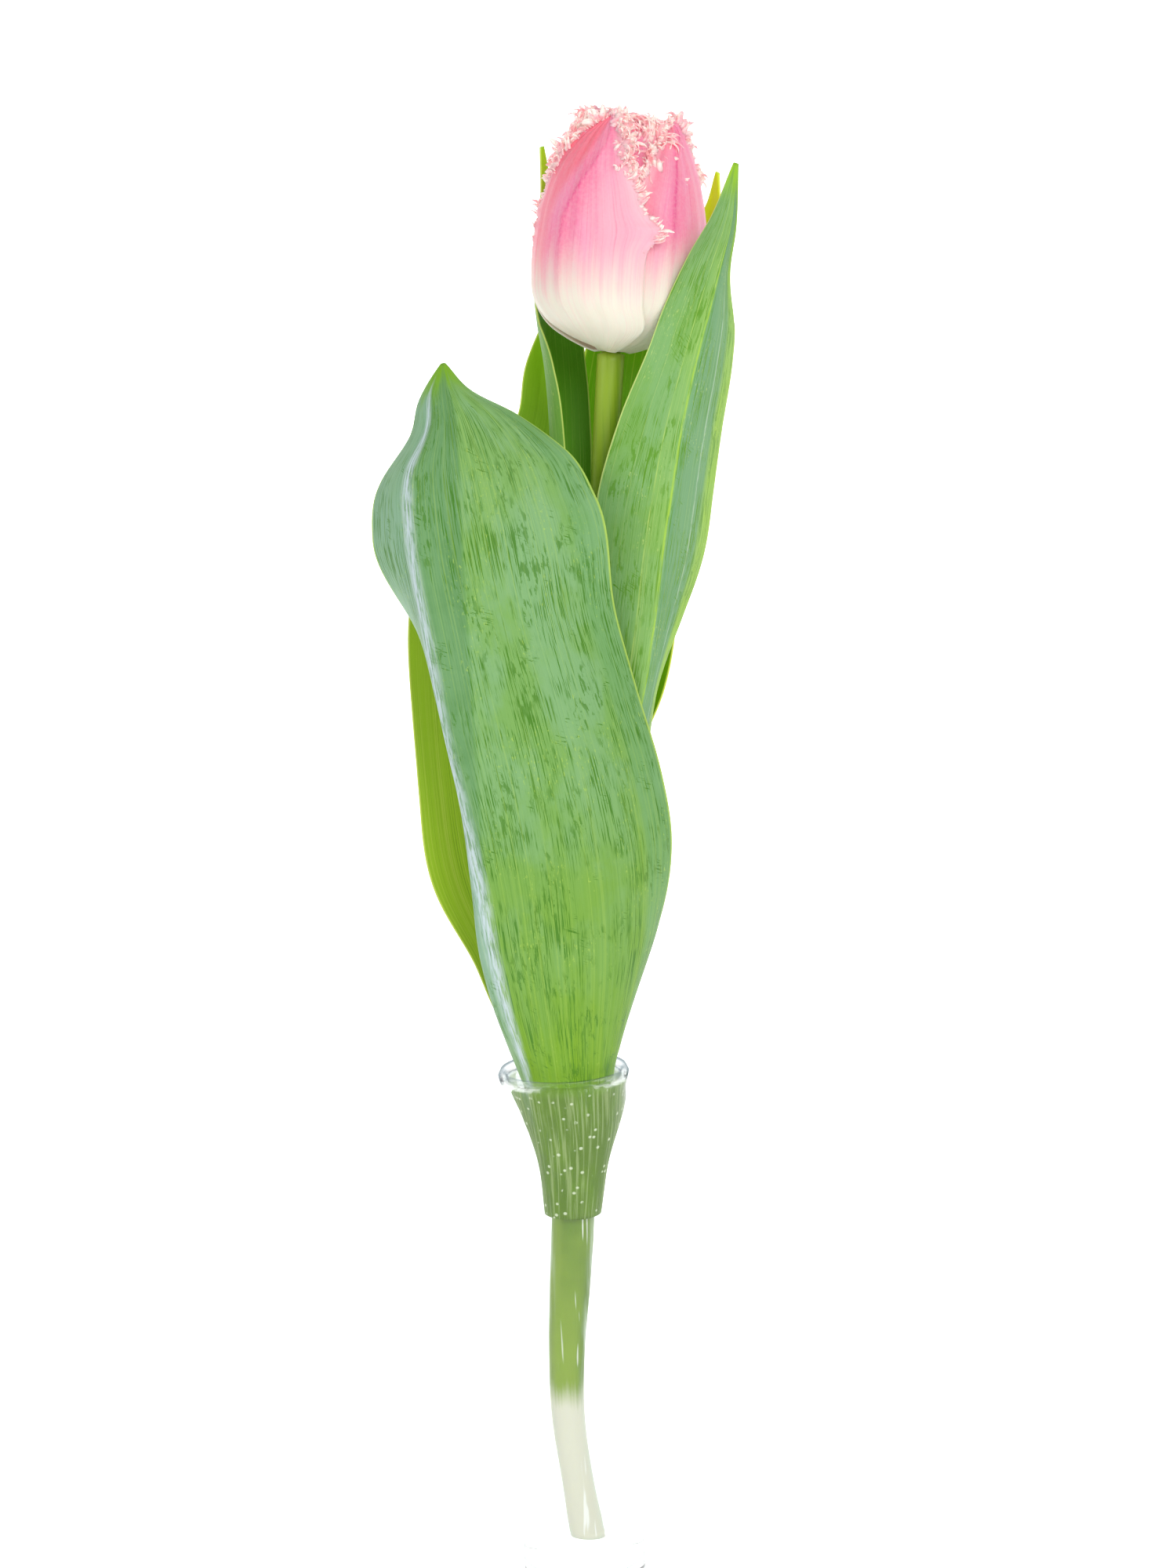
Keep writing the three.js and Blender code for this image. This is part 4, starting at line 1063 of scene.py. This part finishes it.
def fringeRow(shape, petal, look, side, seed, count, band):
    # threads along one margin; band is how far in from it they may stand
    k = np.arange(count)
    first = fringeLook["from"] if band < 0.1 else 0.74
    u = mix(first, 0.998, ((k + draw(seed, k)) / count) ** 0.75)
    v = side * (1 - band * draw(seed + 1, k) ** 1.6)
    normal, along = petalNormal(petal, look, u, v)
    edge = petalPoint(petal, look, u, v)
    outward = unit(edge - petalPoint(petal, look, u, v * 0.9))
    high = ease((u - 0.62) / 0.25)
    covered = (side < 0) * (1 - high)
    clump = np.floor(u * fringeLook["clumps"])

    def shared(offset, amount=0.6):
        # threads of one clump lean and curl alike
        return mix(draw(seed + offset, k), draw(seed + offset + 0.5, clump), amount)

    length = fringeLook["length"] * ease((u - fringeLook["from"]) / 0.15) * mix(0.75, look["crest"], high)
    length = length * mix(0.12, 1.75, shared(2, 0.65) ** 1.5)
    tilt = mix(petal["flare"] * mix(-0.1, 1.0, shared(3)), mix(-0.7, 1.1, shared(4)), high)
    tilt = mix(tilt, -0.1, covered)
    rise = mix(-0.3, 1.2, shared(5))
    reach = mix(0.4, 1, draw(seed + 10, k))
    heading = unit(outward * reach[:, None] + along * rise[:, None] + normal * tilt[:, None])
    over = mix(-0.8, 1.0, shared(6))
    up = mix(-1, 1, shared(7))
    bend = unit(normal * over[:, None] + along * up[:, None] + outward * 0.2)
    turns = mix(0.2, 1.6, shared(8)) * mix(1, 0.3, covered) + high * 4.6 * shared(9) ** 1.6
    widths = fringeLook["wide"] * mix(0.7, 1.35, draw(seed + 11, k)) * mix(0.85, 1, high)
    strands(shape, edge - normal * 0.35, heading, bend, length, widths, turns, u, side)


def fringeTuft(shape, petal, look, tuft, seed):
    # a few longer threads rolled together
    k = np.arange(tuft["count"])
    side = tuft["side"]

    def drawn(offset, low, high):
        return mix(low, high, draw(seed + offset, k))

    u = tuft["u"] + tuft["spread"] * (draw(seed, k) * 2 - 1)
    v = side * drawn(1, 0.94, 1)
    normal, along = petalNormal(petal, look, u, v)
    edge = petalPoint(petal, look, u, v)
    outward = unit(edge - petalPoint(petal, look, u, v * 0.9))
    heading = unit(outward + normal * drawn(2, 0.2, 0.7)[:, None] + along * drawn(3, -0.5, 0.3)[:, None])
    bend = unit(along * drawn(4, 0.5, 1)[:, None] + normal * drawn(5, -0.3, 0.4)[:, None])
    length = tuft["length"] * drawn(6, 0.6, 1.1)
    widths = tuft["wide"] * drawn(7, 0.7, 1.1)
    turns = tuft["turn"] * drawn(8, 0.8, 1.1)
    strands(shape, edge - normal * 0.35, heading, bend, length, widths, turns, u, side)


def makeFringe(shape, petal, look):
    inBand = int(fringeLook["band"] * look["crest"])
    for side in (-1, 1):
        seed = petal["seed"] * 40 + (20 if side > 0 else 0)
        fringeRow(shape, petal, look, side, seed, fringeLook["edge"], 0.03)
        fringeRow(shape, petal, look, side, seed + 200, inBand, look.get("band", 0.3))
    for index, tuft in enumerate(look["tufts"]):
        fringeTuft(shape, petal, look, tuft, 500 + petal["seed"] * 40 + index * 10)


petalTones = {
    "cream": colour(238, 228, 212), "green": colour(222, 216, 190), "pink": colour(252, 146, 184),
    "deep": colour(232, 66, 134), "coral": colour(250, 104, 124), "pale": colour(250, 182, 196),
    "fringe": colour(255, 238, 226), "blushed": colour(250, 158, 170),
    "inside": colour(252, 190, 198), "rim": colour(252, 200, 206),
}


def petalMaterial(name, look, tones, seed):
    material, tree, shader = newMaterial(name)
    blade, u, v, inner = bladeParts(tree)
    tooth = add(tree, "Attribute", attribute_name="tooth").outputs["Fac"]

    def streaks(across, along, offset, low, high):
        given = {"Across": across, "Along": along, "Seed": seed + offset, "Low": low, "High": high}
        return place(tree, longStreaks, {"Blade": blade, **given})["Mask"]

    fine = streaks(60.0, 1.4, 0, 0.32, 0.68)
    broad = streaks(13.0, 1.0, 1, 0.36, 0.64)
    cloudy = streaks(5.0, 3.0, 2, 0.38, 0.62)
    veins = place(tree, fineVeins, {"Blade": blade, "Seed": seed})
    grain = place(tree, softMottle, {"Scale": 1500.0, "Low": 0.4, "High": 0.62})
    rise = sums(tree, "MULTIPLY_ADD", sums(tree, "SUBTRACT", fine, 0.5), 0.03, u)
    rise = sums(tree, "MULTIPLY_ADD", sums(tree, "SUBTRACT", broad, 0.5), 0.07, rise)
    blush = steps(tree, rise, *look["blush"])
    low, lift, start = look["ridge"]
    middle = sums(tree, "MULTIPLY_ADD", steps(tree, u, start, 1.0), float(lift), float(low))
    apart = sums(tree, "SUBTRACT", v, middle)
    away = sums(tree, "ABSOLUTE", apart)
    left = times(tree, steps(tree, apart, -0.16, -0.5), sums(tree, "MULTIPLY_ADD", cloudy, 0.2, 0.8))
    margin = times(tree, steps(tree, sums(tree, "ABSOLUTE", v), 0.74, 1.0), steps(tree, u, 0.45, 0.7))
    skin = coats(tree, tones["pink"], tones, [
        ("coral", cloudy, 0.3),
        ("coral", left, look["leftTone"]),
        # paler to the right of the ridge: partly the petal's own tone and partly a painted highlight
        ("pale", steps(tree, apart, 0.1, 0.75), look["pale"]),
        ("deep", opposite(tree, steps(tree, away, 0.0, 0.42)), 0.35),
        ("deep", opposite(tree, steps(tree, away, 0.0, 0.06)), 0.8),
        ("pale", broad, 0.3),
        ("pale", fine, 0.2),
        ("deep", veins["Dark"], 0.28),
        ("pale", grain["Mask"], 0.24),
        ("coral", left, look["leftTone"] * 0.45),
        ("rim", margin, 0.65),
    ])
    foot = coats(tree, tones["cream"], tones, [
        ("green", steps(tree, u, 0.2, 0.0), 0.8),
        ("pale", veins["Dark"], 0.16),
    ])
    skin = coats(tree, blend(tree, blush, foot, skin), tones, [("inside", times(tree, inner, 0.6), blush)])
    tufted = place(tree, softMottle, {"Scale": 620.0, "Low": 0.46, "High": 0.56})["Mask"]
    thread = coats(tree, tones["fringe"], tones, [("blushed", tufted, 0.75)])
    skin = blend(tree, times(tree, steps(tree, tooth, 0.1, 0.75), 0.88), skin, thread)
    # painted glow: the petals, and the threads most, emit some of their own colour, standing in for light
    # that passes through the thin tissue
    share = sums(tree, "MULTIPLY_ADD", steps(tree, tooth, 0.05, 0.6), 0.8, 0.2)
    relief = sums(tree, "ADD", veins["Height"], times(tree, fine, 1.2))
    fill(tree, shader.inputs, {
        "Base Color": skin,
        "Roughness": 0.42,
        "Specular IOR Level": 0.35,
        "Subsurface Weight": 0.35,
        "Subsurface Radius": (1.0, 0.5, 0.45),
        "Subsurface Scale": 0.0016,
        "Emission Color": blend(tree, share, (0, 0, 0, 1), skin),
        "Emission Strength": 0.16,
        "Normal": bumps(tree, relief, 0.22, 0.0003),
    })
    return material


def makePetal(name, petal):
    look = petalLooks[name]
    us = 1 - (1 - np.linspace(0, 1, petalMesh["rows"])) ** 1.15
    vs = np.linspace(-1, 1, petalMesh["columns"])
    points = petalPoint(petal, look, us[:, None], vs[None])
    normals, _ = petalNormal(petal, look, us[:, None] + 0 * vs[None], vs[None] + 0 * us[:, None])
    thickness = petalMesh["thickness"] * (1 - 0.35 * np.abs(vs) ** 6)[None] * np.ones((len(us), 1))
    shape = Shape()
    sheet(shape, points, normals, thickness, us, vs)
    makeFringe(shape, petal, look)
    skin = petalMaterial(name + "_tone", look, petalTones, petal["seed"] * 3.7)
    shape.piece(name + "_skin", skin, "petal", name)


for name, petal in petals.items():
    makePetal(name, petal)
print("petals made")

organLook = {
    "green": colour(196, 206, 120), "stigma": colour(232, 226, 160), "thread": colour(220, 214, 190),
    "pollen": colour(70, 48, 60), "stamens": 6, "foot": 1.75, "spread": 6.2, "height": 25, "seat": 3.7,
    "rings": 60, "pistilSides": 36, "stamenSides": 20,
}


def organMaterial(name, low, high, border):
    material, tree, shader = newMaterial(name)
    along = bladeParts(tree)[1]
    mottle = place(tree, softMottle, {"Scale": 900.0, "Low": 0.35, "High": 0.65})
    base = blend(tree, steps(tree, along, border - 0.02, border + 0.02), low, high)
    base = blend(tree, times(tree, mottle["Mask"], 0.3), base, low)
    fill(tree, shader.inputs, {
        "Base Color": base,
        "Roughness": 0.6,
        "Normal": bumps(tree, mottle["Height"], 0.5, 0.0003),
    })
    return material


def organTube(name, rings, us, material, slot, node):
    marks = np.zeros(rings.shape[:2] + (4,))
    marks[..., 1] = us[:, None]
    shape = Shape()
    tube(shape, rings, marks)
    shape.piece(name, material, slot, node)


def makePistil(look):
    # height, radius and how deep its three lobes are
    profile = [
        [0, 0.9, 0], [1.5, 1.1, 0.05], [4.5, 1.6, 0.1], [10, 2.4, 0.12], [16, 2.2, 0.12], [18, 2.1, 0.15],
        [20.5, 3.4, 0.3], [22.4, 3.9, 0.35], [24, 2.6, 0.3],
    ]
    us = np.linspace(0, 1, look["rings"])
    rows = smoothRows(profile, 1)(us)
    centres = bloomPoint(0 * us, 0 * us, look["seat"] + rows[:, 0])
    sides = look["pistilSides"]
    angle = np.linspace(0, 2 * math.pi, sides, endpoint=False)
    rings = ringsAround(centres, np.ones(len(us)), sides)
    reach = rows[:, 1:2] * (1 + rows[:, 2:] * np.cos(3 * angle))
    rings = centres[:, None] + (rings - centres[:, None]) * reach[..., None]
    skin = organMaterial("pistilSkin", look["green"], look["stigma"], 0.78)
    organTube("pistilSkin", rings, us, skin, "pistil", "pistil")


def makeStamen(look, index, material):
    # share of the height, and radius
    profile = [
        [0, 0.45], [0.15, 0.6], [0.45, 0.72], [0.55, 0.6], [0.585, 0.7], [0.61, 1.2], [0.7, 1.4],
        [0.85, 1.35], [0.95, 1.0], [0.99, 0.5], [1, 0.3],
    ]
    angle = 2 * math.pi * (index + 0.5) / look["stamens"]
    us = np.linspace(0, 1, look["rings"])
    radii = smoothRows(profile, 1)(us)[:, 1]
    reach = mix(look["foot"], look["spread"], np.sin(us * math.pi / 2))
    centres = bloomPoint(math.cos(angle) * reach, math.sin(angle) * reach, look["seat"] + look["height"] * us)
    rings = ringsAround(centres, radii, look["stamenSides"], lambda a: 1 + 0.08 * np.cos(4 * a))
    node = "stamen_%d" % (index + 1)
    organTube(node + "_skin", rings, us, material, "stamen", node)


makePistil(organLook)
stamenSkin = organMaterial("stamenSkin", organLook["thread"], organLook["pollen"], 0.58)
for index in range(organLook["stamens"]):
    makeStamen(organLook, index, stamenSkin)
print("pistil and stamens made")

# in metres; each lamp has its place, power and size
stageLook = {
    "white": 0.93, "glow": 0.9, "near": 0.44, "reach": (0.5, 1.3), "front": -1.6, "flat": 1.4,
    "curve": 0.5, "curveSteps": 12, "wall": 2.6, "wide": 2.6, "world": 0.36, "aim": (0, 0, 0.22),
    "lamps": {
        "keyLight": ((0.4, -1.0, 0.9), 7.6, (0.6, 0.8)),
        "fillLight": ((-0.9, -0.6, 0.6), 2.4, (0.6, 0.9)),
        "backLight": ((0.1, 0.6, 1.1), 3.4, (1.0, 0.5)),
    },
}
cameraLook = {"eye": (9.31, -731.17, 321.74), "tilt": 8.5, "roll": 2.4, "lens": 67.5}


def makeStage(look):
    # a floor that curves up into a back wall
    flat, curve, parts = look["flat"], look["curve"], look["curveSteps"]
    run = [(look["front"], 0.0), (flat, 0.0)]
    for k in range(1, parts + 1):
        turn = math.radians(90 * k / parts)
        run.append((flat + curve * math.sin(turn), curve * (1 - math.cos(turn))))
    run.append((flat + curve, look["wall"]))
    points = [(x, y, z) for y, z in run for x in (-look["wide"], look["wide"])]
    faces = [(2 * k, 2 * k + 1, 2 * k + 3, 2 * k + 2) for k in range(len(run) - 1)]
    mesh = bpy.data.meshes.new("floor")
    mesh.from_pydata(points, [], faces)
    mesh.polygons.foreach_set("use_smooth", [True] * len(mesh.polygons))
    material, tree, shader = newMaterial("floorWhite")
    mottle = place(tree, softMottle, {"Scale": 3.0, "Low": 0.2, "High": 0.8})
    white = look["white"]
    near = look["near"]
    # it glows more where the lamps no longer reach
    far = steps(tree, objectParts(tree)[1], *look["reach"])
    fill(tree, shader.inputs, {
        "Base Color": blend(tree, mottle["Mask"], (white, white, white, 1), (white * 0.99, white, white, 1)),
        "Roughness": 0.8,
        "Emission Color": blend(tree, far, (near, near, near, 1), (1, 1, 1, 1)),
        "Emission Strength": look["glow"],
    })
    mesh.materials.append(material)
    floor = bpy.data.objects.new("floor", mesh)
    scene.collection.objects.link(floor)


def softLight(name, where, power, size, aim):
    lamp = bpy.data.lights.new(name, "AREA")
    lamp.energy = power
    lamp.shape = "RECTANGLE"
    lamp.size, lamp.size_y = size
    thing = bpy.data.objects.new(name, lamp)
    thing.location = where
    thing.rotation_euler = (Vector(aim) - Vector(where)).to_track_quat("-Z", "Y").to_euler()
    scene.collection.objects.link(thing)


def makeLight(look):
    world = bpy.data.worlds.new("softRoom")
    scene.world = world
    world.use_nodes = True
    background = world.node_tree.nodes["Background"]
    background.inputs[0].default_value = (1, 1, 1, 1)
    background.inputs[1].default_value = look["world"]
    for name, (where, power, size) in look["lamps"].items():
        softLight(name, where, power, size, look["aim"])
    scene.view_settings.view_transform = "Standard"


def makeCamera(look):
    tilt = math.radians(look["tilt"])
    roll = math.radians(look["roll"])
    ahead = Vector((0, math.cos(tilt), -math.sin(tilt)))
    level = Vector((1, 0, 0))
    rise = Vector((0, math.sin(tilt), math.cos(tilt)))
    right = level * math.cos(roll) - rise * math.sin(roll)
    up = level * math.sin(roll) + rise * math.cos(roll)
    eye = Vector(look["eye"]) * mm
    lens = bpy.data.cameras.new("camera")
    lens.sensor_width = 36
    lens.lens = look["lens"]
    lens.clip_start = 0.01
    lens.clip_end = 20
    camera = bpy.data.objects.new("camera", lens)
    camera.matrix_world = Matrix(
        (
            (right.x, up.x, -ahead.x, eye.x),
            (right.y, up.y, -ahead.y, eye.y),
            (right.z, up.z, -ahead.z, eye.z),
            (0, 0, 0, 1),
        )
    )
    scene.collection.objects.link(camera)
    scene.camera = camera


makeStage(stageLook)
makeLight(stageLook)
makeCamera(cameraLook)
print("stage, light and camera made")

bpy.context.view_layer.update()
